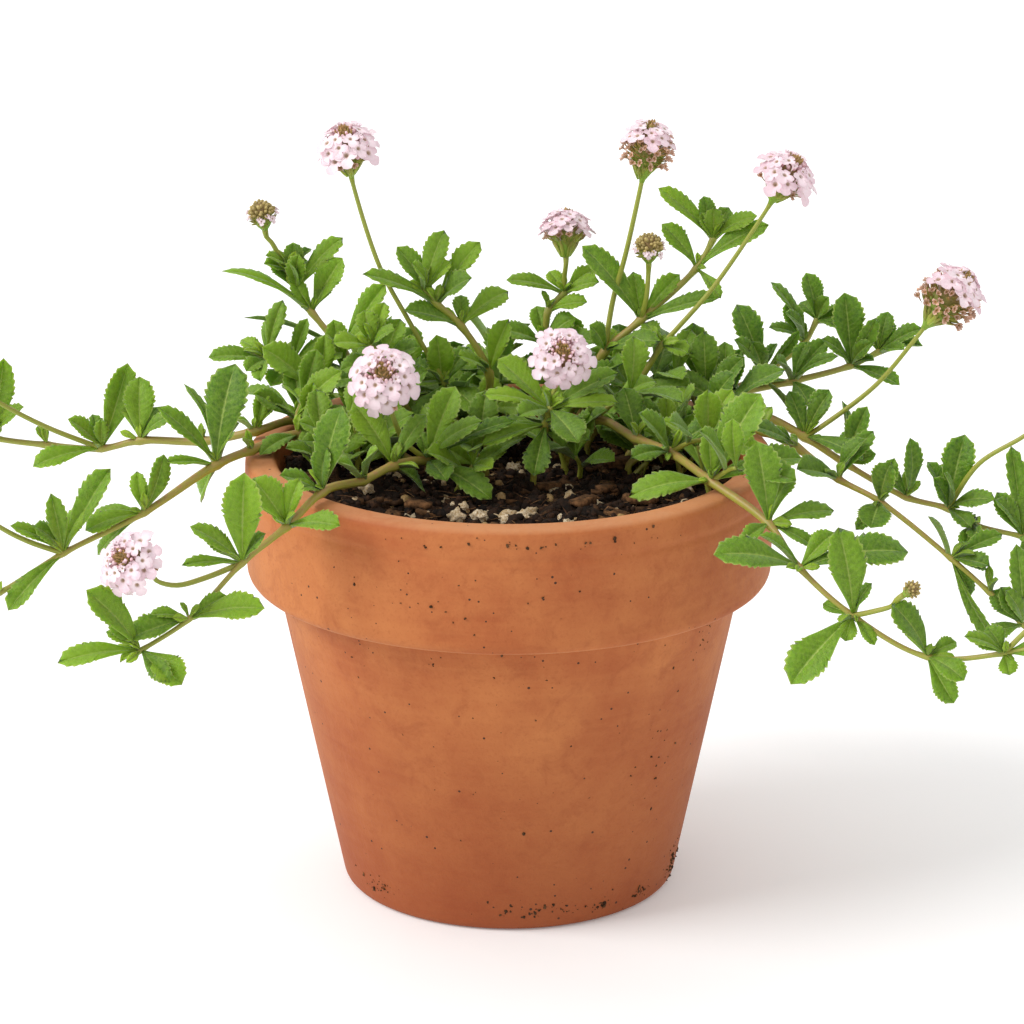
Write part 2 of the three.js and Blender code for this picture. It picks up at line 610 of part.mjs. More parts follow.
/**
 * A leaf from its joint to its tip: a three-sided petiole, and a thin lens of a blade that is thickest at
 * the rib and sharp round its toothed edge. Both faces of the blade are split alike. A spare is added all
 * round for testing the room that the leaf has.
 */
function makeLeaf({ base, way, width, axes, fold, arch }, spare = 0) {
  const outline = outlineFor(width);
  const length = way.length() + spare;
  const petiole = PETIOLE_LENGTH / length;
  const archAt = (share) => 4 * arch * length * share * (1 - share);
  const place = (share, out, rise) => base.clone()
    .addScaledVector(axes.along, length * share)
    .addScaledVector(axes.across, out * Math.cos(fold))
    .addScaledVector(axes.face, Math.abs(out) * Math.sin(fold) + archAt(share) + rise);
  const edge = (sign) => [[petiole, PETIOLE_WIDTH / width], ...outline.side]
    .map(([share, out]) => place(share, sign * out * (width / 2 + spare), 0));
  const lift = RIB_THICKNESS / 2 + spare;
  const count = outline.side.length + 1;
  const points = [
    place(0, 0, 0), ...edge(1), place(1, 0, 0), ...edge(-1),
    place(petiole, 0, 2 * lift), place(outline.rib, 0, lift), place(outline.rib, 0, -lift),
  ];

  const [root, tip] = [0, count + 1];
  const chain = (first) => [...Array.from({ length: count }, (_, i) => first + i), tip];
  const [right, left] = [1, tip + 1].map(chain);
  const [crest, upper, lower] = [0, 1, 2].map((i) => 2 * count + 2 + i);
  const corners = [
    ...fan(upper, right), ...fan(upper, [...left].reverse()),
    ...fan(lower, [...right].reverse()), ...fan(lower, left),
    ...fan(crest, [upper, left[0], root, right[0], upper]),
    [root, right[0], left[0]],
    [lower, left[0], right[0]],
  ];
  return solidFromFaces(points, corners);
}

/** The triangles from one corner to a chain of others, turned so that the chain runs clockwise round it. */
function fan(corner, chain) {
  return chain.slice(1).map((next, i) => [corner, next, chain[i]]);
}

// Ways to bend a leaf clear of its neighbours, tried in turn: [turn, lift] in degrees, at each share of
// its size.
const BENDS = [
  [0, 0], [9, 0], [-9, 0], [0, 9], [0, -9], [12, 12], [-12, 12], [20, 0], [-20, 0], [0, 20], [0, -20],
  [22, 16], [-22, 16], [34, 0], [-34, 0], [0, 34], [36, 24], [-36, 24], [50, 12], [-50, 12],
];
const SIZES = [1, 0.85, 0.7, 0.55];

/** The leaf in one of its bends and sizes. */
function bentLeaf(leaf, [turn, lift], size) {
  const upright = leafAxes(leaf.way, leaf.light, 0);
  const way = leaf.way.clone()
    .applyAxisAngle(upright.across, THREE.MathUtils.degToRad(-lift))
    .applyAxisAngle(upright.face, THREE.MathUtils.degToRad(turn))
    .multiplyScalar(size);
  return { ...leaf, way, width: leaf.width * size, axes: leafAxes(way, leaf.light, leaf.roll) };
}

/** Whether a solid is clear of every solid of another owner. */
function isClear(solid, owner, others) {
  const { min, max } = solid.boundingBox();
  const apart = ({ box }) => [0, 1, 2].some((k) => box.min[k] > max[k] || box.max[k] < min[k]);
  const strangers = others.filter((other) => other.owner !== owner && !apart(other));
  return strangers.every((other) => solid.intersect(other.solid).isEmpty());
}

/** The first bend of a leaf that is clear of the other pieces, or nothing where there is no room. */
function clearLeaf(leaf, owner, others) {
  for (const size of SIZES) {
    for (const bend of BENDS) {
      const bent = bentLeaf(leaf, bend, size);
      if (isClear(makeLeaf(bent, GAP), owner, others)) return makeLeaf(bent);
    }
  }
  return null;
}

/** The leaves of a stem, before they are bent clear. */
function leavesOf(stem, firstIndex) {
  const leaves = stem.joints.flatMap(({ at, leaves: tips }) => tips.map((tip) => ({ at, tip })));
  return leaves.map(({ at, tip: [dx, dy, dz, width, roll = 0] }, i) => {
    const draw = scatter(firstIndex + i);
    return {
      base: vec(at),
      way: vec([dx, dy, dz]),
      width,
      roll,
      light: stem.light ?? LIGHT,
      fold: THREE.MathUtils.degToRad(THREE.MathUtils.lerp(...LEAF_FOLD, draw)),
      arch: THREE.MathUtils.lerp(...LEAF_ARCH, 1 - draw),
    };
  });
}

// ---------------------------------------------------------------- flower heads

// The rings of florets of each form: [angle from the head's axis, count], and the radius of a floret and of
// the cone of buds, as shares of the head's size.
const HEAD_FORMS = {
  open: { rings: [[46, 4], [90, 6]], floret: 0.17, core: 0.27 },
  faded: { rings: [[30, 3], [68, 6]], floret: 0.165, core: 0.33 },
  young: { rings: [[84, 4]], floret: 0.19, core: 0.34 },
  bud: { rings: [], floret: 0, core: 0.42 },
};
const HEAD_FOOT = 0.44;       // from a head's middle to its foot, as a share of its size
const CORE_FOOT = 0.09;       // radius of the foot, as a share of the size
const CORE_BOSS = 0.1;        // how far the buds stand out, as a share of the radius
const CORE_FACETS = 6;

/** The frame of a head: its middle, and a turn from +Z to its axis. */
function headFrame({ route, size, axis }) {
  const way = vec(axis).normalize();
  const middle = vec(route.at(-1)).addScaledVector(way, HEAD_FOOT * size + GAP);
  const turn = new THREE.Quaternion().setFromUnitVectors(UP, way);
  return new THREE.Matrix4().makeRotationFromQuaternion(turn).setPosition(middle);
}

/** The cone of buds: an egg on a narrow foot, whose upper rings are bossed. */
function makeCore(size, coreShare) {
  const egg = [[0.72, -0.25], [1, 0], [0.92, 0.16], [0.6, 0.3], [0, 0.37]];
  const profile = [
    [0, -HEAD_FOOT * size],
    [CORE_FOOT * size, -HEAD_FOOT * size],
    ...egg.map(([out, up]) => [out * coreShare * size, up * size]),
  ];
  const geometry = turned(profile, CORE_FACETS);
  const place = geometry.attributes.position;
  for (let i = 0; i < place.count; i += 1) {
    const [x, y, z] = [place.getX(i), place.getY(i), place.getZ(i)];
    const ring = Math.round((z / size) * 10);
    const boss = z < 0 ? 1 : 1 + CORE_BOSS * Math.cos((CORE_FACETS / 2) * Math.atan2(y, x) + ring * Math.PI);
    place.setXYZ(i, x * boss, y * boss, z);
  }
  return solidFromGeometry(geometry);
}

/** A floret on +Z: a throat in four lobes, the lowest one largest, on a tube that tapers to its root. */
function makeFloret(radius, reach, root) {
  const lobes = [1.15, 0.98, 0.8, 0.98];
  const outline = lobes.flatMap((lobe, i) => [[lobe, i * 90, 0.12], [0.6, i * 90 + 45, 0]]);
  const at = (share, degrees, height) => {
    const angle = THREE.MathUtils.degToRad(degrees - 90);
    return vec([radius * share * Math.cos(angle), radius * share * Math.sin(angle), reach + radius * height]);
  };
  const neck = [0, 120, 240].map((degrees) => at(0.26, degrees, -0.45));
  const points = [at(0, 0, -0.3), ...outline.map((p) => at(...p)), ...neck, vec([0, 0, root])];
  const [throat, rim, collar, tail] = [0, 1, 1 + outline.length, 1 + outline.length + neck.length];
  const corners = [];
  let below = 0;
  outline.forEach((_, i) => {
    const next = (i + 1) % outline.length;
    corners.push([throat, rim + i, rim + next]);
    const nextBelow = Math.round(((i + 1) / outline.length) * neck.length) % neck.length;
    corners.push([rim + next, rim + i, collar + below]);
    if (nextBelow !== below) corners.push([rim + next, collar + below, collar + nextBelow]);
    below = nextBelow;
  });
  neck.forEach((_, i) => corners.push([collar + (i + 1) % neck.length, collar + i, tail]));
  return solidFromFaces(points, corners);
}

/** A flower head on its stalk. */
function makeHead({ head, size, ...rest }) {
  const { rings, floret, core } = HEAD_FORMS[head];
  const frame = headFrame({ size, ...rest });
  const florets = rings.flatMap(([lean, count], ring) => Array.from({ length: count }, (_, i) => {
    const turn = new THREE.Matrix4().makeRotationZ(((i + 0.5 * ring) / count) * 2 * Math.PI);
    const tilt = new THREE.Matrix4().makeRotationX(THREE.MathUtils.degToRad(lean));
    return makeFloret(floret * size, 0.43 * size, 0.06 * size).transform(turn.multiply(tilt).toArray());
  }));
  const blossom = florets.reduce((sum, one) => sum.add(one), makeCore(size, core));
  return oneBody(blossom.transform(frame.toArray()));
}

// ---------------------------------------------------------------- the whole plant

/** A solid with its owner's name and its bounds, for telling what is clear of it. */
function placedPiece(owner, solid) {
  return { owner, solid, box: solid.boundingBox() };
}

/** Every solid of the plant by name, each leaf bent clear of what stands round it. */
function growPlant(stems, pot, soil) {
  const stalks = STEMS.flatMap(({ joints }) => joints).filter(({ stalk }) => stalk).map(({ stalk }) => stalk);
  const heads = stalks.map((stalk, i) => ({
    name: `head_${i + 1}_${stalk.head}`,
    solid: makeHead(stalk),
    material: stalk.head === 'bud' ? BUDS : PETALS,
  }));
  const placed = [placedPiece('pot', pot), placedPiece('soil', soil)];
  placed.push(...[...heads, ...stems].map(({ name, solid }) => placedPiece(name, solid)));
  let count = 0;
  STEMS.forEach((stem, s) => {
    const leaves = leavesOf(stem, count);
    count += leaves.length;
    for (const leaf of leaves) {
      const solid = clearLeaf(leaf, stem.name, placed);
      if (solid) {
        placed.push(placedPiece(stem.name, solid));
        stems[s].solid = stems[s].solid.add(solid);
      }
    }
    stems[s].solid = oneBody(stems[s].solid);
  });
  return [...stems, ...heads];
}

const pot = makePot();
const stems = STEMS.map((stem) => ({ name: stem.name, solid: makeStem(stem), material: FOLIAGE }));
const soil = makeSoil(STEMS, stems.map(({ name, solid }) => placedPiece(name, solid)));
const model = new THREE.Group();
model.add(meshOf('pot', pot, TERRACOTTA));
model.add(meshOf('soil', soil, POTTING_SOIL));
for (const { name, solid, material } of growPlant(stems, pot, soil)) model.add(meshOf(name, solid, material));

export default model;
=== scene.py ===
"""A frogfruit plant (Phyla nodiflora, verbena family) in a terracotta pot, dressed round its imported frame.

Sizes are millimetres until a mesh is made, and metres after that. +Z is up, -Y is the front, and the
origin is the middle of the pot's underside.
"""

import json
import logging
import math
from dataclasses import dataclass, field, replace
from enum import Enum, IntEnum
from functools import partial
from typing import Any, Callable

import bmesh
import bpy
import numpy as np
from bpy.types import Material, Mesh, Node, NodeSocket, NodeTree, Object
from mathutils import Matrix, Quaternion, Vector, noise
from mathutils.kdtree import KDTree

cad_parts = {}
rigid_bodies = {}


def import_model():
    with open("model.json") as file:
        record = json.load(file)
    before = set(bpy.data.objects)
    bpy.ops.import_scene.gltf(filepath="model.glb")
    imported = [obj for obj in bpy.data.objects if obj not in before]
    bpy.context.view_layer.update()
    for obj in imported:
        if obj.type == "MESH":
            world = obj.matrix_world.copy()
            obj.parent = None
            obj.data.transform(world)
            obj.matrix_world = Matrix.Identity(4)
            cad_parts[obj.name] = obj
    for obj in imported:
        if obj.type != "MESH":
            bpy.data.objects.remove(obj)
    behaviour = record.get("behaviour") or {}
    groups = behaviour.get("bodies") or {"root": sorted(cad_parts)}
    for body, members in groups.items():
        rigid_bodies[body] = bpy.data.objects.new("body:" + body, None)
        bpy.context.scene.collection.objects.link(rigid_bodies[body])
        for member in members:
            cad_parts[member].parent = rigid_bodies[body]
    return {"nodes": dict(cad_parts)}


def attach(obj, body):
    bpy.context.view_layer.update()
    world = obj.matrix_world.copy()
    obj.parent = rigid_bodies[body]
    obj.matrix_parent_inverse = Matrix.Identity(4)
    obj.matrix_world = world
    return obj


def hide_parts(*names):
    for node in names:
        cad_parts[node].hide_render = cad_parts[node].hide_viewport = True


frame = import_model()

LOG = logging.getLogger("frogfruit")

MM = 0.001
BODY = "root"
SOIL_TOP = 100                 # height of the soil
GROWTH_MARKS = ("tint", "youth", "veins", "reach", "under", "rise")

UP = Vector((0, 0, 1))
LIGHT = Vector((0, -0.55, 0.83))       # the way the leaves turn their upper face
BACK_LIGHT = Vector((0, 0.45, 0.89))
GOLDEN_ANGLE = math.pi * (3 - math.sqrt(5))

Row = tuple[float, ...]
Adder = Callable[..., Node]


# ---------------------------------------------------------------- what grows where

class HeadForm(Enum):
    """How far a flower head has opened."""

    OPEN = "open"
    FADED = "faded"
    YOUNG = "young"
    BUD = "bud"


@dataclass(frozen=True)
class Stalk:
    """A flower stalk: the points that it passes, and the head on its end."""

    route: tuple[Row, ...]         # from just off the stem to the foot of the head
    form: HeadForm
    size: float                    # the head's width
    axis: Row                      # the way that the head faces
    later: HeadForm | None = None  # the form that its flowers are passing into, if any
    fullness: float = 1.0          # how broad its flowers stand, as a share of its size

    @property
    def look(self) -> HeadForm:
        """The form that its flowers show."""
        return self.later or self.form


@dataclass(frozen=True)
class Joint:
    """A place on a stem where leaves stand, and a flower stalk may start."""

    at: Row
    leaves: tuple[Row, ...] = ()   # the way to each leaf's tip, its width, and its roll in degrees, if any
    stalk: Stalk | None = None


@dataclass(frozen=True)
class Stem:
    """A leafy stem: where it roots, its joints from there outwards, and the way its leaves turn."""

    name: str
    root: Row
    joints: tuple[Joint, ...]
    light: Vector = field(default_factory=LIGHT.copy)
    low_shoots: int = 0            # short shoots that come out of the soil behind it

    @property
    def is_runner(self) -> bool:
        """Whether it creeps out of the pot."""
        return self.name.startswith("runner")

    @property
    def girth(self) -> float:
        """Its radius."""
        return RUNNER_GIRTH if self.is_runner else SHOOT_GIRTH

    @property
    def depth(self) -> float:
        """How much painted shade its leaves get: those on the right are darkened, as the light comes from the
        left.
        """
        return max(0.0, min(0.9, self.root[0] / 34))


RUNNER_GIRTH = 1.15
SHOOT_GIRTH = 1.05

STEMS = [
    Stem("runner_front_left", (-6, 8), (
        Joint((-20, -4, 109),
              ((7, 4, 18, 9.5), (14, -6, 12, 7), (5, -11, -2, 8), (-2, 2, 7, 4), (22, -2, 11, 5.5),
               (16, -10, -7, 8)),
              Stalk(((-25.5, -8, 115), (-28, -9, 121), (-29.5, -9.7, 128)),
                    HeadForm.OPEN, 18, (-0.05, -0.79, 0.61), fullness=0.93)),
        Joint((-28, -15, 111), ((-10, 4, 15, 9), (8, 4, 12, 6), (7, 8, -9, 6))),
        Joint((-35, -27, 111), ((-6, -10, 8, 6), (4, -9, 11, 5))),
        Joint((-44, -42, 113), ((5, -2, 22, 9.5), (-10, -6, 6, 6))),
        Joint((-52, -53, 108), ((-8, 0, 12, 9), (13, -9, 3, 7))),
        Joint((-62, -62, 102), ((1, -2, 23, 11), (-12, -3, 10, 6), (-14, -5, 1, 4)),
              Stalk(((-70.5, -64, 99), (-77, -66.5, 98), (-81.5, -69, 100), (-83.6, -71.1, 103.2)),
                    HeadForm.OPEN, 15, (-0.42, -0.74, 0.52))),
        Joint((-74, -70, 91), ((18, -4, 4, 8.5), (-14, -6, -3, 8))),
        Joint((-85, -75, 85), ((-10, -2, 18, 9.5), (10, -7, -6, 9), (-19, -6, -1, 7), (-8, -1, 5, 4))),
    )),
    Stem("runner_left", (-24, 14), (
        Joint((-52, 6, 112.5), ((8, 3, 9, 7), (-9, -14, -1, 6))),
        Joint((-63, -7, 112.5)),
        Joint((-71, -14, 111),
              ((5, 3, 25, 11.5), (-8, 6, 19, 6, 50), (-14, -4, 16, 6), (-12, -8, 3, 4), (-4, 6, -11, 7))),
        Joint((-88, -24, 102), ((5, 3, 14, 6, 45), (-14, -5, -3, 7), (2, 4, 6, 4), (-12, 3, -12, 5))),
        Joint((-107, -31, 94), ((12, 2, 21, 8.5), (-2, -5, 17, 6), (-12, -6, 9, 5), (-13, -8, -12, 7)),
              Stalk(((-115, -34, 98), (-121, -36, 102), (-130, -38, 110)),
                    HeadForm.YOUNG, 12, (-0.6, -0.3, 0.75))),
        Joint((-122, -37, 86)),
        Joint((-131, -41, 83), ((-2, 0, 13, 8), (-9, -4, -2, 7), (-5, -4, -10, 7), (-12, 2, 4, 6))),
    )),
    Stem("runner_left_back", (-28, 24), (
        Joint((-52, 20, 112), ((9, -6, 8, 8), (-2, 8, 12, 8))),
        Joint((-63, 9, 112.5), ((4, 5, 18, 6, 30), (16, 8, 21, 9, 30), (-6, -6, 6, 5))),
        Joint((-76, 12, 109)),
        Joint((-92, 16, 108), ((0, 3, 16, 8.5), (-5, 6, 10, 4), (9, -4, 8, 5))),
        Joint((-102, 19, 105), ((7, 2, 22, 9, 35), (-8, -4, 9, 6), (-17, -6, -3, 7)),
              Stalk(((-115, 17, 111), (-126, 14, 118), (-134, 12, 125)),
                    HeadForm.YOUNG, 11, (-0.5, -0.2, 0.8))),
        Joint((-116, 22, 105)),
        Joint((-130, 25, 106), ((4, -3, 22, 8, 30), (9, -6, 10, 6), (-11, 3, 9, 7))),
        Joint((-138, 27, 108), ((-6, 2, 12, 7), (-10, -2, 1, 7), (-8, -6, -7, 6))),
    )),
    Stem("runner_front_right", (14, 14), (
        Joint((21, 10, 115)),
        Joint((31, -2, 114), ((-3, 4, 12, 8),)),
        Joint((39, -14, 114), ((-8, -6, 12, 8), (13, 4, 7, 8), (-10, -8, 1, 6))),
        Joint((48, -34, 113), ((-20, -6, -2, 8.5), (12, 4, 21, 11.5), (-1, -1, 13, 5.5), (11, 2, 3, 5))),
        Joint((61, -48, 107), ((-3, 2, 20, 10), (16, 4, 2, 6), (11, -3, -5, 4.5))),
        Joint((68, -57, 99), ((-21, -8, 6, 10.5), (26, 3, 3, 10))),
        Joint((80, -65, 90), ((-4, 0, 22, 10), (-15, -9, -14, 11), (-2, -4, -5, 5), (5, -4, -6, 4)),
              Stalk(((84, -68, 92), (88.5, -71, 94.5), (90.7, -73.3, 97.8)),
                    HeadForm.BUD, 5.5, (0.7, -0.3, 0.65))),
        Joint((97, -71, 82), ((-9, -2, 14, 8.5), (8, -8, -3, 7), (7, 2, 3, 5))),
        Joint((114, -77, 85), ((-10, -5, 6, 5), (1, -4, -4, 5), (-4, 2, 6, 6)),
              Stalk(((118, -78, 90), (124, -78, 96), (128, -77, 103)),
                    HeadForm.YOUNG, 10, (0.4, -0.3, 0.85))),
        Joint((122, -80, 88), ((8, 2, 10, 8), (11, -3, 0, 8), (4, -5, -9, 7))),
    )),
    Stem("runner_right", (30, 12), (
        Joint((54, 14, 112.5), ((-9, -8, 4, 8),)),
        Joint((63, 9, 112.5)),
        Joint((71, 5, 109.5), ((-13, -8, 8, 6),)),
        Joint((81, 0, 103), ((-11, -8, 5, 9.5), (9, 5, 11, 6))),
        Joint((91, -6, 99), ((-3, -9, -4, 9), (2, -5, 12, 8))),
        Joint((108, -14, 87), ((11, -6, -20, 5, 60), (9, -6, 0, 6.5), (-6, 0, 11, 5, 60), (13, 4, 5, 6))),
        Joint((117, -19, 80)),
        Joint((125, -23, 73), ((-5, -3, 10, 6), (-2, 3, 20, 6), (-10, -8, -1, 6))),
        Joint((133, -27, 67), ((10, 2, 10, 8), (11, -3, -1, 8), (1, -6, -10, 7))),
    )),
    Stem("runner_right_outer", (30, 20), (
        Joint((50, 20, 113), ((6, -5, 13, 8),)),
        Joint((62, 20.5, 113.5)),
        Joint((74, 19, 108), ((-4, 4, 11, 6), (6, 2, 12, 7), (14, -14, -2, 6.5), (-11, 6, 14, 4.5, 60)),
              Stalk(((78, 18, 111), (91, 14, 123), (100, 11, 135.5), (104.3, 9.9, 141.7)),
                    HeadForm.OPEN, 17, (0.55, -0.25, 0.8), HeadForm.FADED)),
        Joint((84, 16, 102), ((-1, 2, 16, 4.5, 60), (5, -3, 16, 7))),
        Joint((99, 10, 95), ((0, -4, 17, 6, 30),)),
        Joint((109, 7, 93), ((4, 2, 19, 9.5), (-2, -8, 12, 4), (11, -8, 5, 6.5), (5, -10, -2, 6)),
              Stalk(((116, 3, 106), (127, 1, 114), (135, 0, 122)), HeadForm.YOUNG, 12, (0.5, -0.3, 0.8))),
        Joint((115, 4, 90), ((-3, -9, -4, 5),)),
        Joint((127, 0, 88), ((-3, 2, 11, 6), (-3, 6, 22, 6), (1, -6, -9, 6))),
        Joint((137, -3, 86), ((8, 2, 11, 8), (11, -3, 0, 8), (4, -6, -9, 6))),
    )),
    Stem("shoot_right_back", (30, 38), (
        Joint((44, 36, 113), ((-8, -5, 9, 8),)),
        Joint((55, 44, 112.5), ((-9, 4, 12, 8), (4, -4, 9, 8.5), (-8, -10, 1, 6))),
        Joint((65, 48, 116), ((-7, 3, 18, 8.5), (-8, -6, 11, 6.5), (9, -4, 13, 4, 60))),
        Joint((76, 54, 123), ((-9, 4, 15, 6, 30), (-10, -8, 6, 5))),
        Joint((79, 56, 128), ((3, -2, 7, 6), (6, -6, 0, 5), (-4, 4, 4, 4.5), (8, 6, 1, 5))),
    )),
    Stem("shoot_right", (37, 31), (
        Joint((48, 28, 112.5), ((-10, -8, 5, 8),)),
        Joint((57, 33, 115), ((2, -7, 12, 7.5),)),
        Joint((72, 38, 117), ((9, 4, 10, 6.5), (-5, -8, 8, 6), (11, -8, 9, 4.5), (4, -10, -4, 7))),
        Joint((87, 42, 120), ((-2, 2, 19, 9.5), (6, -4, 14, 5.5, 40), (12, -8, -3, 6), (-8, -3, 8, 5))),
        Joint((94, 44, 123), ((11, -2, 7, 6), (4, 4, 7, 5), (6, -8, 3, 5), (-3, 3, 6, 5))),
    )),
    Stem("shoot_right_tall", (12, 34), (
        Joint((17, 32, 114), ((14, -7, 3, 8.4), (-7, -10, 3, 8))),
        Joint((24, 30, 127), ((-4, -3, 8, 7), (14, -8, 5, 7.5), (4, 5, 4, 6)),
              Stalk(((26, 31, 140), (29, 30, 152), (33.4, 28.1, 174.5)),
                    HeadForm.FADED, 14.5, (0.15, -0.15, 0.98))),
        Joint((33, 31, 135), ((-15, 2, 19, 8.5), (20, -4, 7, 6.5), (10, 4, 11, 6.5), (-2, 3, 12, 5.5)),
              Stalk(((34.3, 29.5, 141), (34.8, 29, 150.3)), HeadForm.YOUNG, 9.5, (0, -0.25, 0.97))),
        Joint((47, 33, 148), ((-9, 2, 11, 6.5), (18, -3, 12, 7.5), (4, -10, -6, 4))),
        Joint((51, 34, 155), ((-14, 2, 13, 6.5), (0, -2, 9, 5.5), (4, 2, 8, 6), (11, -3, 7, 6))),
    )),
    Stem("shoot_mid", (-6, 30), (
        Joint((-6, 28, 112), ((12, -9, 3, 8), (-13, -8, 5, 8))),
        Joint((-5, 24, 123), ((5, -2, 15, 7), (-8, -8, 7, 6))),
        Joint((-12, 22, 136), ((-15, -2, 3, 7), (12, 4, 8, 7.5), (0, 4, 7, 5))),
        Joint((-18, 21, 142), ((-10, 3, 14, 7), (9, -5, 8, 8.5), (11, 4, 15, 7), (-20, -1, 9, 6))),
        Joint((-21, 21, 145), ((5, 4, 15, 7), (-3, -6, 9, 6), (7, 0, 8, 5))),
    )),
    Stem("shoot_left_tall", (-20, 38), (
        Joint((-35, 34, 117), ((13, -4, 7, 8.4), (-11, -8, 4, 8))),
        Joint((-42, 38, 125), ((-25, -4, 10, 4.5, 50), (-5, -8, -1, 7), (11, 3, 17, 7.5), (8, -4, 8, 6))),
        Joint((-50, 42, 134), ((-23, 0, 11, 5.5, 25), (8, 2, 14, 9))),
        Joint((-54, 44, 139), ((-6, 3, 9, 7.5), (1, -4, 11, 6), (12, 5, 13, 6.5))),
        Joint((-56, 45, 144), ((-6, -4, 3, 5), (5, 3, 2, 5)),
              Stalk(((-58, 44, 148), (-60, 43.3, 152), (-61.5, 42.8, 155.3)),
                    HeadForm.YOUNG, 9.5, (-0.15, -0.2, 0.97))),
    )),
    Stem("shoot_left_low", (-32, 32), (
        Joint((-48, 32, 114), ((-8, -6, 9, 7), (4, -8, 4, 6))),
        Joint((-55, 34, 122), ((5, 3, 12, 5), (-5, -8, -3, 7), (13, 2, 4, 6))),
        Joint((-61, 34, 124), ((-15, -2, 1, 6.5), (5, 3, 15, 5.5), (-7, 4, 4, 5), (-5, -8, -1, 6))),
    )),
    Stem("shoot_left_mid", (-12, 26), (
        Joint((-16, 22, 121), ((-10, 4, 4, 6.5), (6, 6, 8, 6.5), (9, -10, -5, 8), (-7, -9, -9, 8)),
              Stalk(((-25, 20, 138), (-32, 19, 152), (-38.7, 17, 175.9)),
                    HeadForm.OPEN, 15.5, (-0.12, -0.3, 0.95))),
    )),
    Stem("shoot_right_mid", (20, 30), (
        Joint((31, 26, 118),
              ((-7, -8, -4, 7), (9, 4, -3, 6.5), (4, -10, -6, 6), (15, -7, 3, 8.4), (-11, -4, 7, 8))),
        Joint((38, 25, 130), ((-5, 6, 4, 5.5), (7, -4, -1, 6)),
              Stalk(((43, 24, 136), (51, 23, 146), (64.8, 20.7, 168.4)),
                    HeadForm.OPEN, 15.5, (0.42, -0.25, 0.87))),
    )),
    Stem("tuft_centre", (6, 2), (
        Joint((9, 0, 117), ((-16, -8, -3, 6), (-3, -8, -11, 8), (11, -7, -2, 6.5), (-11, -2, -3, 6))),
        Joint((10, -1, 121),
              ((-13, 4, 12, 9), (-17, -4, 5, 5.5), (17, 2, 9, 7.5), (17, -4, 3, 5.5), (7, -12, -5, 9.5),
               (-8, -9, 1, 7), (6, 6, 5, 6)),
              Stalk(((10.8, -1.2, 125), (12.5, -2.1, 131.6)), HeadForm.OPEN, 17, (0.03, -0.79, 0.61),
                    fullness=0.88)),
    )),
    Stem("tuft_back", (2, 46), (
        Joint((5, 45, 114), ((14, -6, 4, 8), (-14, -5, 4, 8))),
        Joint((9, 44, 125), ((-11, -4, 5, 7.5), (8, -3, 8, 8), (-2, 5, 9, 6), (14, -8, 3, 7))),
        Joint((10, 44, 134), ((-9, -2, 3, 6), (2, -3, 9, 6.5), (10, -3, 3, 6), (-7, -8, -1, 7))),
        Joint((14, 46, 138), ((-15, -2, 4, 5.5), (8, 2, 6, 6), (9, -4, 4, 6.5), (-4, 3, 5, 5)),
              Stalk(((14, 46, 142), (14.4, 46.1, 147.6)), HeadForm.OPEN, 14, (0, 0.3, 0.95))),
    ), low_shoots=15),
    Stem("tuft_left", (-18, 22), (
        Joint((-27, 18, 118), ((7, -4, 9, 7), (-9, -6, 3, 7), (-14, -12, -5, 7))),
        Joint((-31, 17, 128), ((9, -3, 5, 7), (-11, -4, -1, 7), (4, 5, 10, 7))),
        Joint((-34, 17, 132), ((-2, 2, 9, 6.5), (-10, -4, 2, 6.5), (6, -6, 6, 6), (3, 6, 10, 5.5))),
    )),
]

BACK_ROOT = 36                         # how far from the pot's middle the back runners root
BACK_STRAY = 4                         # how far a back runner strays from its way at each joint
BACK_DISTANCES = (50, 64, 72, 77, 79)
BACK_HEIGHTS = (113, 113.5, 107, 95, 80)


def scatter(index: float) -> float:
    """A number from 0 to 1 that is always the same for the same index."""
    wave = math.sin((index + 1) * 12.9898) * 43758.5453
    return wave - math.floor(wave)


def back_runner(name: str, azimuth: float) -> Stem:
    """A runner that trails over the back of the pot, with crossed pairs of leaves.

    Args:
        name: the stem's name.
        azimuth: the way that it leaves the pot, in degrees from +X.

    Returns:
        The stem.
    """
    out = Vector((math.cos(math.radians(azimuth)), math.sin(math.radians(azimuth)), 0))
    across = UP.cross(out)

    def level(along: float, sideways: float) -> Row:
        """The x and y of a place that far out and that far to the side."""
        return tuple(out * along + across * sideways)[:2]

    joints = []
    for i, (distance, height) in enumerate(zip(BACK_DISTANCES, BACK_HEIGHTS)):
        stray = BACK_STRAY * (scatter(azimuth + i) - 0.5)
        aside, rise = (13, 5) if i % 2 == 0 else (8, 12)
        leaves = (
            (*level(4 + stray, aside), rise + stray, 8),
            (*level(4 - stray, -aside - stray), rise - stray, 8.4),
        )
        joints.append(Joint((*level(distance, stray * i), height), leaves))
    return Stem(name, level(BACK_ROOT, 0), tuple(joints), BACK_LIGHT)


STEMS += [
    back_runner("runner_back_left", 122),
    back_runner("runner_back", 92),
    back_runner("runner_back_right", 64),
]


# ---------------------------------------------------------------- nodes and meshes

def linear(colour: str) -> tuple[float, float, float, float]:
    """The linear colour of an sRGB hex value."""
    channels = [int(colour[i:i + 2], 16) / 255 for i in (1, 3, 5)]
    return (*[c / 12.92 if c <= 0.04045 else ((c + 0.055) / 1.055) ** 2.4 for c in channels], 1.0)


def per_metre(size: float) -> float:
    """The scale of a pattern whose features are that many millimetres wide."""
    return 1 / (size * MM)


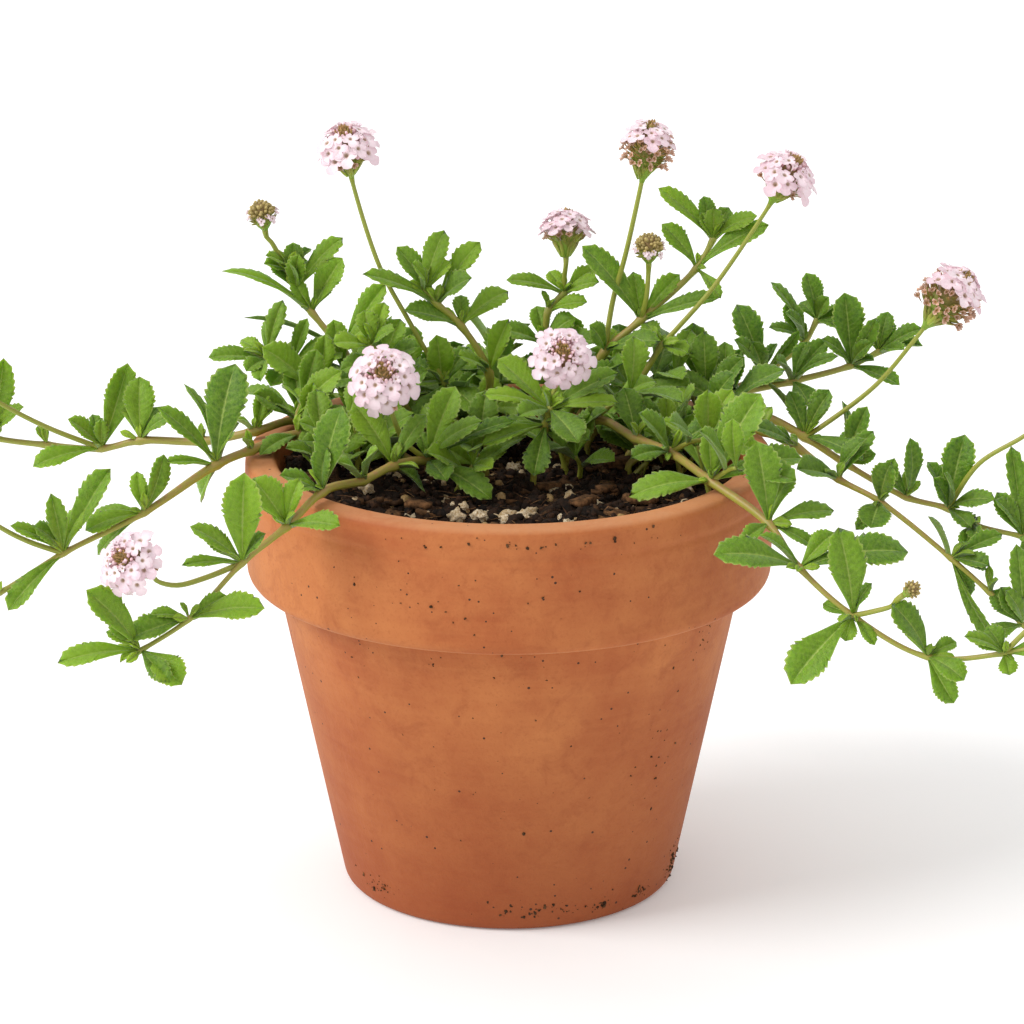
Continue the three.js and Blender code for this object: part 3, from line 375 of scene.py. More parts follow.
def add_node(tree: NodeTree, kind: str, inputs: dict[str, Any] | tuple[Any, ...] = (),
             **settings: Any) -> Node:
    """Adds a node with its settings and links.

    Args:
        tree: the tree that it goes into.
        kind: the node's type, for a ShaderNode without that word.
        inputs: what feeds its sockets, by identifier or in their order: an output, a node, whose first
            output in use is taken, a value, or the hex value of a colour.
        settings: the node's own settings.

    Returns:
        The node.
    """
    node = tree.nodes.new(kind if "Node" in kind else f"ShaderNode{kind}")
    for name, value in settings.items():
        setattr(node, name, value)
    for key, value in inputs.items() if isinstance(inputs, dict) else enumerate(inputs):
        socket = node.inputs[key] if isinstance(key, int) else next(
            one for one in node.inputs if one.identifier == key)
        if isinstance(value, Node):
            value = next(output for output in value.outputs if output.enabled)
        elif isinstance(value, str) and value.startswith("#"):
            value = linear(value)
        if isinstance(value, NodeSocket):
            tree.links.new(value, socket)
        else:
            socket.default_value = value
    return node


def new_shape_tree(name: str, sizes: dict[str, Any]) -> tuple[NodeTree, Adder, dict[str, Any]]:
    """Starts a Geometry Nodes tree that takes a mesh and gives one back.

    Args:
        name: the tree's name.
        sizes: the named inputs and their usual values.

    Returns:
        The tree, what adds a node to it, and its inputs' sockets by name.
    """
    kinds = {int: "NodeSocketInt", float: "NodeSocketFloat", type(None): "NodeSocketCollection"}
    tree = bpy.data.node_groups.new(name, "GeometryNodeTree")
    tree.interface.new_socket("Geometry", in_out="INPUT", socket_type="NodeSocketGeometry")
    for label, value in sizes.items():
        socket = tree.interface.new_socket(label, in_out="INPUT", socket_type=kinds[type(value)])
        if value is not None:
            socket.default_value = value
    tree.interface.new_socket("Geometry", in_out="OUTPUT", socket_type="NodeSocketGeometry")
    add = partial(add_node, tree)
    return tree, add, {socket.name: socket for socket in add("NodeGroupInput").outputs if socket.name}


def worked_out(add: Adder, known: dict[str, Any], sums: tuple[tuple[Any, ...], ...]) -> dict[str, Any]:
    """Adds a table of sums to a tree.

    Args:
        add: adds a node to the tree.
        known: what the sums start from, by name.
        sums: in each row the name of what it gives, its operation, and what goes in, by name or as a number.

    Returns:
        All that is known then, by name.
    """
    for name, operation, *terms in sums:
        inputs = tuple(known[term] if isinstance(term, str) else term for term in terms)
        known[name] = add("Math", inputs, operation=operation)
    return known


def finish_shape_tree(add: Adder, shape: Any, materials: list[Material]) -> None:
    """Ends a tree: instances are made real, and each face gets the material that its finish mark counts to.

    Args:
        add: adds a node to the tree.
        shape: what the tree has made.
        materials: the materials, in the order of the finish marks.
    """
    shape = add("GeometryNodeRealizeInstances", (shape,))
    shape = add("GeometryNodeSetShadeSmooth", (shape,))
    finish = add("GeometryNodeInputNamedAttribute", {"Name": "finish"}, data_type="INT")
    for i, material in enumerate(materials):
        chosen = add("FunctionNodeCompare", {"A_INT": finish, "B_INT": i}, data_type="INT", operation="EQUAL")
        shape = add("GeometryNodeSetMaterial", (shape, chosen, material))
    add("NodeGroupOutput", (shape,))


def baked(name: str, mesh: Mesh, tree: NodeTree, sizes: dict[str, Any],
          kept: tuple[str, ...] = ()) -> Object:
    """Runs a tree on a mesh and keeps the result as a plain mesh.

    Args:
        name: the piece's name.
        mesh: what the tree works on.
        tree: the tree.
        sizes: values for its named inputs.
        kept: the attributes that the materials read. The others are dropped.

    Returns:
        The piece, at the origin, with no modifier.
    """
    piece = bpy.data.objects.new(name, mesh)
    bpy.context.scene.collection.objects.link(piece)
    modifier = piece.modifiers.new(tree.name, "NODES")
    modifier.node_group = tree
    for item in tree.interface.items_tree:
        if item.in_out == "INPUT" and item.name in sizes:
            modifier[item.identifier] = sizes[item.name]
    depsgraph = bpy.context.evaluated_depsgraph_get()
    result = bpy.data.meshes.new_from_object(
        piece.evaluated_get(depsgraph), preserve_all_data_layers=True, depsgraph=depsgraph)
    piece.modifiers.remove(modifier)
    piece.data = result
    result.name = name
    needed = {"position", "sharp_face", "material_index", *kept}
    spare = [one.name for one in result.attributes if one.name not in needed and not one.name.startswith(".")]
    for label in spare:
        result.attributes.remove(result.attributes[label])
    return piece


def seat(piece: Object, node: str) -> None:
    """Puts a piece in the place of its CAD node.

    Args:
        piece: the piece.
        node: the node.
    """
    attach(piece, BODY)
    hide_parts(node)
    LOG.info("%s: %d faces", piece.name, len(piece.data.polygons))


def mark(mesh: Mesh, label: str, values: np.ndarray, domain: str = "POINT") -> None:
    """Stores whole numbers, plain ones, vectors or turns on a mesh.

    Args:
        mesh: the mesh.
        label: the attribute's name.
        values: its values, a row for each point or face.
        domain: what they are for.
    """
    width = values.shape[1] if values.ndim == 2 else 1
    is_whole = values.dtype.kind == "i"
    kind = "INT" if is_whole else {1: "FLOAT", 3: "FLOAT_VECTOR", 4: "QUATERNION"}[width]
    numbers = np.ravel(values).astype(np.int32 if is_whole else np.float32)
    mesh.attributes.new(label, kind, domain).data.foreach_set("vector" if width == 3 else "value", numbers)


@dataclass
class Shape:
    """A closed mesh in the making, with marks on its points and faces that trees and materials read."""

    points: np.ndarray
    faces: list[tuple[int, ...]]
    marks: dict[str, np.ndarray] = field(default_factory=dict)
    face_marks: dict[str, np.ndarray] = field(default_factory=dict)
    finish: int = 0                # which of its tree's materials it gets
    crease: float = math.tau       # least angle between two faces that meet in a sharp edge

    def mesh(self, name: str) -> Mesh:
        """The Blender mesh, with coinciding points joined and its faces turned outwards.

        Args:
            name: the mesh's name.

        Returns:
            The mesh.
        """
        mesh = bpy.data.meshes.new(name)
        mesh.from_pydata(self.points.tolist(), [], self.faces)
        for label, values in self.marks.items():
            mark(mesh, label, values)
        for label, values in self.face_marks.items():
            mark(mesh, label, values, "FACE")
        mark(mesh, "finish", np.full(len(mesh.polygons), int(self.finish)), "FACE")
        shell = bmesh.new()
        shell.from_mesh(mesh)
        bmesh.ops.remove_doubles(shell, verts=shell.verts, dist=1e-8)
        bmesh.ops.recalc_face_normals(shell, faces=shell.faces)
        for edge in shell.edges:
            edge.smooth = not edge.calc_face_angle(0) > self.crease
        shell.to_mesh(mesh)
        shell.free()
        return mesh


def skin(rings: int, around: int) -> list[tuple[int, ...]]:
    """The faces that join a stack of rings with as many points each.

    Args:
        rings: how many rings there are.
        around: how many points a ring has.

    Returns:
        The faces.
    """
    faces = []
    for here in range(0, (rings - 1) * around, around):
        there = here + around
        for k in range(around):
            after = (k + 1) % around
            faces.append((here + k, here + after, there + after, there + k))
    return faces


class PatternShelf:
    """Shapes that a tree places, kept by number in a collection that the scene doesn't show."""

    def __init__(self, name: str) -> None:
        """Starts an empty shelf."""
        self.collection = bpy.data.collections.new(name)

    def add(self, label: str, shape: Shape) -> int:
        """Puts a shape on the shelf.

        Args:
            label: what it is.
            shape: the shape.

        Returns:
            Its number.
        """
        number = len(self.collection.objects)
        name = f"{self.collection.name}_{number:02d}_{label}"
        self.collection.objects.link(bpy.data.objects.new(name, shape.mesh(name)))
        return number

    def clear(self) -> None:
        """Takes the shapes away."""
        for pattern in list(self.collection.objects):
            bpy.data.objects.remove(pattern)
        bpy.data.collections.remove(self.collection)


# ---------------------------------------------------------------- finishes

def new_material(name: str, *marks: str) -> tuple[Any, ...]:
    """Starts a material.

    Args:
        name: the material's name.
        marks: the attributes that it reads.

    Returns:
        The material, what adds a node to it, Object coordinates in it, and its attributes' outputs.
    """
    material = bpy.data.materials.new(name)
    material.use_nodes = True
    material.node_tree.nodes.clear()
    add = partial(add_node, material.node_tree)
    read = [add("Attribute", attribute_name=mark).outputs["Fac"] for mark in marks]
    return material, add, add("TexCoord").outputs["Object"], *read


def overlaid(add: Adder, base: Any, *layers: tuple[Any, Any]) -> Any:
    """Lays colours over a base.

    Args:
        add: adds a node.
        base: the colour underneath.
        layers: each layer's share and colour, from below.

    Returns:
        What shows on top.
    """
    for share, colour in layers:
        base = add("Mix", {"Factor_Float": share, "A_Color": base, "B_Color": colour}, data_type="RGBA")
    return base


def surfaced(material: Material, add: Adder, skin_values: dict[str, Any],
             relief: tuple[Any, float, float] | None = None) -> Material:
    """Ends a material.

    Args:
        material: the material.
        add: adds a node to it.
        skin_values: what goes into its shader.
        relief: the height of its small relief, how strongly that shows, and its depth in millimetres.

    Returns:
        The material.
    """
    if relief:
        height, strength, depth = relief
        bump = add("Bump", {"Height": height, "Strength": strength, "Distance": depth * MM})
        skin_values["Normal"] = bump
    add("OutputMaterial", {"Surface": add("BsdfPrincipled", skin_values)})
    return material


@dataclass(frozen=True)
class FiredTerracotta:
    """Red earthenware, thrown and fired unglazed: a dull, dusty, gritty skin, cloudy from the kiln."""

    clay: str = "#ad5e31"
    pale: str = "#c67c45"
    burnt: str = "#994b24"
    edge: str = "#d29a6c"
    # the colour that the clay darkens to towards its foot
    darker_foot: str = "#914522"
    splash: str = "#4a2c1b"
    cloud: float = 34.0            # width of the kiln's clouds
    patch: float = 6.8             # width of the burnt patches
    drag: float = 2.2              # height of the lines that the potter's rib leaves
    grit: float = 0.7
    peel: float = 2.6              # width of the dimples that the drying skin leaves
    darker_foot_top: float = 70           # how high the clay darkens towards its foot
    edges: Row = (79.3, 110.5)     # heights of the edges that handling has rubbed pale
    rubbed: Row = (0.2, 1.1)       # how far from such an edge the paleness starts to fade, and ends
    speck: float = 2.0             # between specks of splashed soil
    coarse: float = 2.3            # how much further apart the larger specks are
    cluster: float = 24            # width of the clusters that they crowd in
    dirty_side: Row = (5, 40)      # right of the middle, where more soil gathers from here to there
    gathered: Row = (75.5, 6.0)    # heights at which soil gathers, under the collar and at the foot
    gathers: Row = (3, 9)          # how far from such a height it starts to thin out, and ends

    def material(self) -> Material:
        """The material."""
        material, add, place = new_material("fired_terracotta")
        clouds, patches, grit, peel = [
            add("TexNoise", {"Vector": place, "Scale": per_metre(width), **values})
            for width, values in (
                (self.cloud, {"Detail": 5.0, "Roughness": 0.62}),
                (self.patch, {"Detail": 4.0, "Roughness": 0.7, "Distortion": 0.6}),
                (self.grit, {"Detail": 3.0}),
                (self.peel, {"Detail": 2.0}))]
        flat = add("Mapping", {"Vector": place, "Scale": (0.06, 0.06, 1.0)})
        lines = add("TexNoise", {"Vector": flat, "Scale": per_metre(self.drag), "Detail": 3.0})
        height = add("SeparateXYZ", (place,)).outputs["Z"]
        shares = [add("MapRange", ramp) for ramp in (
            (clouds, 0.36, 0.66),
            (patches, 0.5, 0.74, 0.0, 0.5),
            (lines, 0.45, 0.75, 0.0, 0.25),
            (grit, 0.55, 0.8, 0.0, 0.35),
            (height, 0.0, self.darker_foot_top * MM, 0.75, 0.0))]
        body = overlaid(
            add, self.clay, *zip(shares, (self.pale, self.burnt, self.pale, self.burnt, self.darker_foot)),
            *[(self._rubbed(add, height, patches, edge), self.edge) for edge in self.edges],
            (self._specks(add, place, height, self.speck, 0.17, 0.0), self.splash),
            (self._specks(add, place, height, self.speck * self.coarse, 0.1, -0.1), self.splash))
        relief = add("Math", (grit, lines), operation="ADD")
        relief = add("Math", (peel, 1.6, relief), operation="MULTIPLY_ADD")
        return surfaced(material, add, {"Base Color": body, "Roughness": 0.66, "Specular IOR Level": 0.28,
                                        "Diffuse Roughness": 0.3}, (relief, 0.4, 0.25))

    def _near(self, add: Adder, height: Any, level: float, fade: Row, *shares: Any) -> Node:
        """How near the clay is to a level.

        Args:
            add: adds a node.
            height: the place's height.
            level: the level's.
            fade: how far from it the nearness starts to fade, and ends.
            shares: what the nearness is at the level, and far from it.

        Returns:
            The nearness.
        """
        off = add("Math", (height, level * MM), operation="SUBTRACT")
        away = add("Math", (off,), operation="ABSOLUTE")
        return add("MapRange", (away, fade[0] * MM, fade[1] * MM, *shares))

    def _rubbed(self, add: Adder, height: Any, patches: Any, edge: float) -> Node:
        """How far the clay is rubbed pale near an edge at a height."""
        return add("Math", (self._near(add, height, edge, self.rubbed, 0.9, 0.0), patches),
                   operation="MULTIPLY")

    def _specks(self, add: Adder, place: Any, height: Any, pitch: float, width: float,
                thin_out: float) -> Node:
        """Where soil has splashed: dots that crowd in clusters and under the collar.

        Args:
            add: adds a node.
            place: the place on the pot.
            height: its height.
            pitch: between specks.
            width: radius of the largest specks, as a share of the pitch.
            thin_out: what is added to their share of the dots.

        Returns:
            The share of soil.
        """
        dots = add("TexVoronoi", {"Vector": place, "Scale": per_metre(pitch)})
        draw = add("SeparateColor", {"Color": dots.outputs["Color"]})
        clusters = add("TexNoise", {"Vector": place, "Scale": per_metre(self.cluster), "Detail": 2.0})
        side = add("SeparateXYZ", (place,)).outputs["X"]
        dirty = add("MapRange", (side, *[x * MM for x in self.dirty_side], 2.5, 6.0))
        near = 1.0
        for level in self.gathered:
            gathered = self._near(add, height, level, self.gathers, dirty, 1.0)
            near = add("Math", (near, gathered), operation="MAXIMUM")
        crowd = add("MapRange", (clusters, 0.5, 0.66, 0.07, 0.5))
        density = add("Math", (crowd, near, thin_out), operation="MULTIPLY_ADD")
        chosen = add("Math", (draw.outputs["Red"], density), operation="LESS_THAN")
        reach = add("Math", (draw.outputs["Green"], width), operation="MULTIPLY")
        inside = add("Math", (dots.outputs["Distance"], reach), operation="LESS_THAN")
        return add("Math", (chosen, inside), operation="MULTIPLY")


@dataclass(frozen=True)
class PottingFinish:
    """One part of a potting mix: a rough, dull crumb whose colour changes from grain to grain."""

    name: str
    dark: str
    light: str
    grain: float                   # width of its grains
    relief: float = 0.3            # depth of its pores

    def material(self) -> Material:
        """The material."""
        material, add, place, tint = new_material(self.name, "tint")
        grains = add("TexNoise", {
            "Vector": place, "Scale": per_metre(self.grain), "Detail": 4.0, "Roughness": 0.65})
        share = add("MapRange", (grains, 0.35, 0.68))
        own = add("Math", (share, tint), operation="MULTIPLY")
        return surfaced(material, add, {
            "Base Color": overlaid(add, self.dark, (own, self.light)), "Roughness": 0.9,
            "Specular IOR Level": 0.25}, (grains, 0.8, self.relief))


@dataclass(frozen=True)
class LivingLeaf:
    """A living leaf: matt green skin, pale veins and rim, a grey bloom, and flesh that lets light through."""

    blade: str = "#729919"
    deep: str = "#345805"
    young: str = "#90ae22"
    vein: str = "#adbf62"
    rim: str = "#9cb25c"
    underside: str = "#7d9650"
    bloom: str = "#cfe0d2"
    cell: float = 1.0              # between the fine veins, coarse enough to show
    down: float = 0.3              # between the fine hairs, coarse enough to show

    def material(self) -> Material:
        """The material."""
        material, add, place, tint, youth, veins, reach, under = new_material(
            "living_leaf", "tint", "youth", "veins", "reach", "under")
        mottle = add("TexNoise", {"Vector": place, "Scale": per_metre(self.cell), "Detail": 3.0})
        # A low tint gives more of the deep colour: the tint is each leaf's own random tone, and on the stems
        # to the right it is also lowered as painted shade
        own = add("MapRange", (tint, 0.0, 0.7, 0.5, 0.0))
        share = add("MapRange", (mottle, 0.35, 0.7, 0.0, 0.5))
        dark = add("Math", (share, own), operation="ADD")
        net = add("TexVoronoi", {"Vector": place, "Scale": per_metre(self.cell)},
                  feature="DISTANCE_TO_EDGE")
        fine = add("MapRange", (net, 0.0, 0.16, 0.07, 0.0))
        fresh = add("Math", (tint, 0.35, youth), operation="MULTIPLY_ADD", use_clamp=True)
        narrow = add("Math", (veins, 2.0), operation="POWER")
        ribbed = add("Math", (narrow, 0.72), operation="MULTIPLY")
        edge = add("MapRange", (reach, 0.88, 1.0, 0.0, 0.6))
        pale = add("Math", (under, 0.55), operation="MULTIPLY")
        body = overlaid(add, self.blade, (dark, self.deep), (fine, self.vein), (fresh, self.young),
                        (ribbed, self.vein), (edge, self.rim), (pale, self.underside))
        hairs = add("TexNoise", {"Vector": place, "Scale": per_metre(self.down), "Detail": 2.0})
        relief = add("Math", (fine, -3.0, hairs), operation="MULTIPLY_ADD")
        return surfaced(material, add, {
            "Base Color": body, "Roughness": 0.4, "Specular IOR Level": 0.28,
            "Subsurface Weight": 0.25, "Subsurface Radius": (0.55, 1.0, 0.12), "Subsurface Scale": 0.8 * MM,
            "Sheen Weight": 0.31, "Sheen Roughness": 0.4, "Sheen Tint": self.bloom}, (relief, 0.8, 0.2))


@dataclass(frozen=True)
class SappyStem:
    """A sappy creeping stem: green when young, browned by the sun along its older, upper side."""

    green: str = "#90a33a"
    brown: str = "#a98050"
    olive: str = "#9a9b3a"
    streak: float = 1.1            # width of its lengthwise streaks

    def material(self) -> Material:
        """The material."""
        material, add, place, youth = new_material("sappy_stem", "youth")
        streaks = add("TexNoise", {"Vector": place, "Scale": per_metre(self.streak), "Detail": 3.0})
        normal = add("NewGeometry").outputs["Normal"]
        up = add("SeparateXYZ", (normal,)).outputs["Z"]
        sunned = add("MapRange", (up, -0.2, 0.8, 0.1))
        streaked = add("MapRange", (streaks, 0.35, 0.65, 0.3))
        sunned = add("Math", (sunned, streaked), operation="MULTIPLY")
        fresh = add("Math", (youth, 0.6), operation="MULTIPLY")
        return surfaced(material, add, {
            "Base Color": overlaid(add, self.olive, (sunned, self.brown), (fresh, self.green)),
            "Roughness": 0.45, "Specular IOR Level": 0.45, "Subsurface Weight": 0.2,
            "Subsurface Radius": (0.6, 1.0, 0.15), "Subsurface Scale": 0.8 * MM}, (streaks, 0.3, 0.1))


@dataclass(frozen=True)
class FreshPetal:
    """A fresh corolla: thin white flesh flushed with pink, which light comes through, and an ochre throat."""

    limb: str = "#f3e2e6"
    flush: str = "#d6b5c0"
    throat: str = "#96713f"
    glow: float = 0.11             # painted light: a glow of its own that lifts the shade between florets, in place of light through its thin flesh
    vein: float = 0.5

    def material(self) -> Material:
        """The material."""
        material, add, place, tint, rise = new_material("fresh_petal", "tint", "rise")
        veins = add("TexNoise", {"Vector": place, "Scale": per_metre(self.vein), "Detail": 2.0})
        # painted shade: the flush deepens towards the lobes' rims, so that each floret shows its edge; the
        # rest of the flush is the petals' own pink, drawn at random
        lobes = add("MapRange", (rise, 0.5, 1.0, 0.0, 0.55))
        flush = add("Math", (tint, veins, lobes), operation="MULTIPLY_ADD", use_clamp=True)
        limb = overlaid(add, self.limb, (flush, self.flush))
        open_share = add("MapRange", (rise, 0.1, 0.36), interpolation_type="SMOOTHSTEP")
        return surfaced(material, add, {
            "Base Color": overlaid(add, self.throat, (open_share, limb)), "Roughness": 0.5,
            "Specular IOR Level": 0.3, "Subsurface Weight": 0.3, "Subsurface Radius": (1.0, 0.85, 0.9),
            "Subsurface Scale": 0.5 * MM, "Sheen Weight": 0.15, "Emission Color": self.limb,
            "Emission Strength": self.glow})


@dataclass(frozen=True)
class BudSkin:
    """A bud, a scale or a withered floret: dull skin that changes colour from its foot to its tip."""

    name: str
    foot: str
    tip: str
    spread: Row = (0.2, 0.9)       # where along it the colour changes
    roughness: float = 0.6
    glow: float = 0.12             # painted light: a glow of its own, in place of light through its thin skin
    grain: float = 0.6             # width of its wrinkles

    def material(self) -> Material:
        """The material."""
        material, add, place, tint, rise = new_material(self.name, "tint", "rise")
        share = add("MapRange", (rise, *self.spread))
        wrinkles = add("TexNoise", {"Vector": place, "Scale": per_metre(self.grain), "Detail": 2.0})
        light = add("Math", (tint, 0.5, 0.72), operation="MULTIPLY_ADD")
        colour = add("HueSaturation", {
            "Color": overlaid(add, self.foot, (share, self.tip)), "Value": light})
        return surfaced(material, add, {
            "Base Color": colour, "Roughness": self.roughness, "Specular IOR Level": 0.35,
            "Emission Color": colour, "Emission Strength": self.glow, "Subsurface Weight": 0.15,
            "Subsurface Radius": (1.0, 0.8, 0.5), "Subsurface Scale": 0.5 * MM}, (wrinkles, 0.4, 0.1))


@dataclass(frozen=True)
class MattPaper:
    """The sweep under the pot: plain white paper with a painted glow that lifts its shadows, and painted
    shade where the glow fades just in front of the pot.
    """

    white: str = "#f3f3f3"
    glow: float = 0.22             # painted light: a glow of the paper's own that lifts its shadows
    dim: float = 0.04              # the painted glow just in front of the pot, lower there as painted shade
    dimmest: Row = (0.03, -0.13, 0.0)   # where that is, in metres
    reach: float = 0.22            # how far from there it has its full light

    def material(self) -> Material:
        """The material."""
        material, add, place = new_material("matt_paper")
        # painted shade: the glow fades to its least just in front of the pot
        away = add("VectorMath", (place, self.dimmest), operation="DISTANCE").outputs["Value"]
        glow = add("MapRange", (away, 0.0, self.reach, self.dim, self.glow),
                   interpolation_type="SMOOTHSTEP")
        return surfaced(material, add, {"Base Color": self.white, "Roughness": 0.9, "Specular IOR Level": 0.1,
                                        "Emission Color": "#ffffff", "Emission Strength": glow})


# ---------------------------------------------------------------- the pot

@dataclass
class TerracottaPot:
    """The pot: a tapered wall under a straight collar, turned round a drain hole."""

    height: float = 110.5
    rim_radius: float = 65
    base_radius: float = 41.3
    wall: float = 6.2
    floor: float = 8
    band_height: float = 31        # of the collar
    band_step: float = 7.7         # how far it stands out
    drain_radius: float = 7.5
    groove_below_rim: float = 7.5  # how far down a line is turned in the collar
    groove_depth: float = 0.35
    lip: float = 1.3               # how much thicker the wall is at the lip
    facets: int = 176
    arc_steps: int = 6
    waver: float = 45              # width of the wall's waves
    finish: FiredTerracotta = FiredTerracotta()

    def inner_radius(self, height: float) -> float:
        """The inside radius at a height."""
        foot = self.base_radius - self.wall
        top = self.rim_radius - self.wall - self.lip
        return foot + (top - foot) * ((height - self.floor) / (self.height - self.floor))

    def outer_radius(self, height: float) -> float:
        """The outside radius at a height.

        Args:
            height: the height.

        Returns:
            The radius.
        """
        band_foot = self.height - self.band_height
        if height > band_foot:
            return self.rim_radius
        return self.base_radius + (self.rim_radius - self.band_step - self.base_radius) * height / band_foot

    def corners(self) -> list[Row]:
        """The profile's corners, from the drain hole outwards and back: radius, height and rounding."""
        band_foot = self.height - self.band_height
        groove = self.height - self.groove_below_rim
        return [
            (self.drain_radius, 0, 0.8),
            (self.base_radius, 0, 2.4),
            (self.rim_radius - self.band_step + 0.3, band_foot - 0.4, 1.6),
            (self.rim_radius - 0.2, band_foot, 3.4),
            (self.rim_radius, groove - 1.4, 0.6),
            (self.rim_radius - self.groove_depth, groove, 0.5),
            (self.rim_radius - 0.05, groove + 1.2, 0.5),
            (self.rim_radius - 0.2, self.height, 2.4),
            (self.inner_radius(self.height), self.height, 2.0),
            (self.inner_radius(self.floor), self.floor, 3.0),
            (self.drain_radius, self.floor, 1.0),
        ]

    def profile(self) -> list[Row]:
        """The profile as points, with its corners rounded."""
        corners = [Vector(corner[:2]) for corner in self.corners()]
        points = []
        for i, (corner, (_, _, rounding)) in enumerate(zip(corners, self.corners())):
            before = corners[i - 1] - corner
            after = corners[(i + 1) % len(corners)] - corner
            reach = min(rounding, 0.45 * before.length, 0.45 * after.length)
            start, end = corner + before.normalized() * reach, corner + after.normalized() * reach
            for k in range(self.arc_steps + 1):
                share = k / self.arc_steps
                points.append(tuple(start.lerp(corner, share).lerp(corner.lerp(end, share), share)))
        return points

    def tree(self) -> NodeTree:
        """The tree that sweeps a profile round a circle and lets the wall waver as thrown clay does."""
        tree, add, size = new_shape_tree("Turned clay", {
            "Facets": self.facets, "Circle": 0.05, "Waver": 0.0003})
        circle = add("GeometryNodeCurvePrimitiveCircle", {
            "Resolution": size["Facets"], "Radius": size["Circle"]})
        level = add("GeometryNodeSetCurveNormal", (circle,), mode="Z_UP")
        profile = add("GeometryNodeMeshToCurve", (size["Geometry"],))
        wall = add("GeometryNodeCurveToMesh", (level, profile))
        waver = add("TexNoise", {"Scale": per_metre(self.waver), "Detail": 2.0})
        centred = add("Math", (waver, 0.5), operation="SUBTRACT")
        depth = add("Math", (centred, size["Waver"]), operation="MULTIPLY")
        out = add("VectorMath", (add("GeometryNodeInputPosition"), (1.0, 1.0, 0.0)),
                  operation="MULTIPLY")
        out = add("VectorMath", (out,), operation="NORMALIZE")
        offset = add("VectorMath", {"Vector": out, "Scale": depth}, operation="SCALE")
        moved = add("GeometryNodeSetPosition", {"Geometry": wall, "Offset": offset})
        finish_shape_tree(add, moved, [self.finish.material()])
        return tree

    def build(self) -> None:
        """Makes the pot."""
        circle = self.rim_radius - self.wall
        loop = [((r - circle) * MM, -z * MM, 0) for r, z in self.profile()]
        mesh = bpy.data.meshes.new("pot_profile")
        mesh.from_pydata(loop, [(i, (i + 1) % len(loop)) for i in range(len(loop))], [])
        seat(baked("thrown_pot", mesh, self.tree(), {"Circle": circle * MM}), "pot")


# ---------------------------------------------------------------- the soil

class Mix(IntEnum):
    """What the potting mix is made of, in the order that its tree counts its materials."""

    CRUMB = 0
    BARK = 1
    PERLITE = 2
    FIBRE = 3


@dataclass(frozen=True)
class Litter:
    """One kind of grain on the soil."""

    kind: Mix
    count: float                   # grains on each square metre of soil
    least: float                   # the smallest grain's size against its pattern, in metres
    most: float                    # the largest grain's
    seed: int
    tilt: float = math.pi          # how far it may lean each way, in radians


@dataclass(frozen=True)
class Splash:
    """A cluster of crumbs that watering has splashed on the outside of the pot."""

    azimuth: float                 # degrees from the front, to the right
    height: float
    breadth: float                 # how far its crumbs spread sideways
    depth: float                   # how far they spread up and down
    count: int


SPLASHES = (
    Splash(-40, 71, 4.5, 3.2, 60),
    Splash(-37, 75, 2.5, 1.5, 24),
    Splash(-19, 74.5, 3.5, 1.6, 30),
    Splash(39, 75, 2, 1, 12),
    Splash(57, 72.5, 3.5, 3, 90),
    Splash(72, 7, 4, 4, 60),
    Splash(50, 5, 2.5, 1.5, 26),
    Splash(33, 4.5, 2.5, 1.5, 24),
    Splash(10, 5.5, 12, 2, 44),
    Splash(-50, 6.5, 6, 2, 34),
    Splash(44, 45, 9, 20, 60),
    Splash(10, 72, 14, 3, 16),
    Splash(5, 107, 26, 1.2, 30),
    Splash(-10, 92, 26, 8, 20),
    Splash(-5, 50, 24, 22, 34),
    Splash(150, 74, 14, 3, 60),
    Splash(215, 6, 18, 3, 50),
)


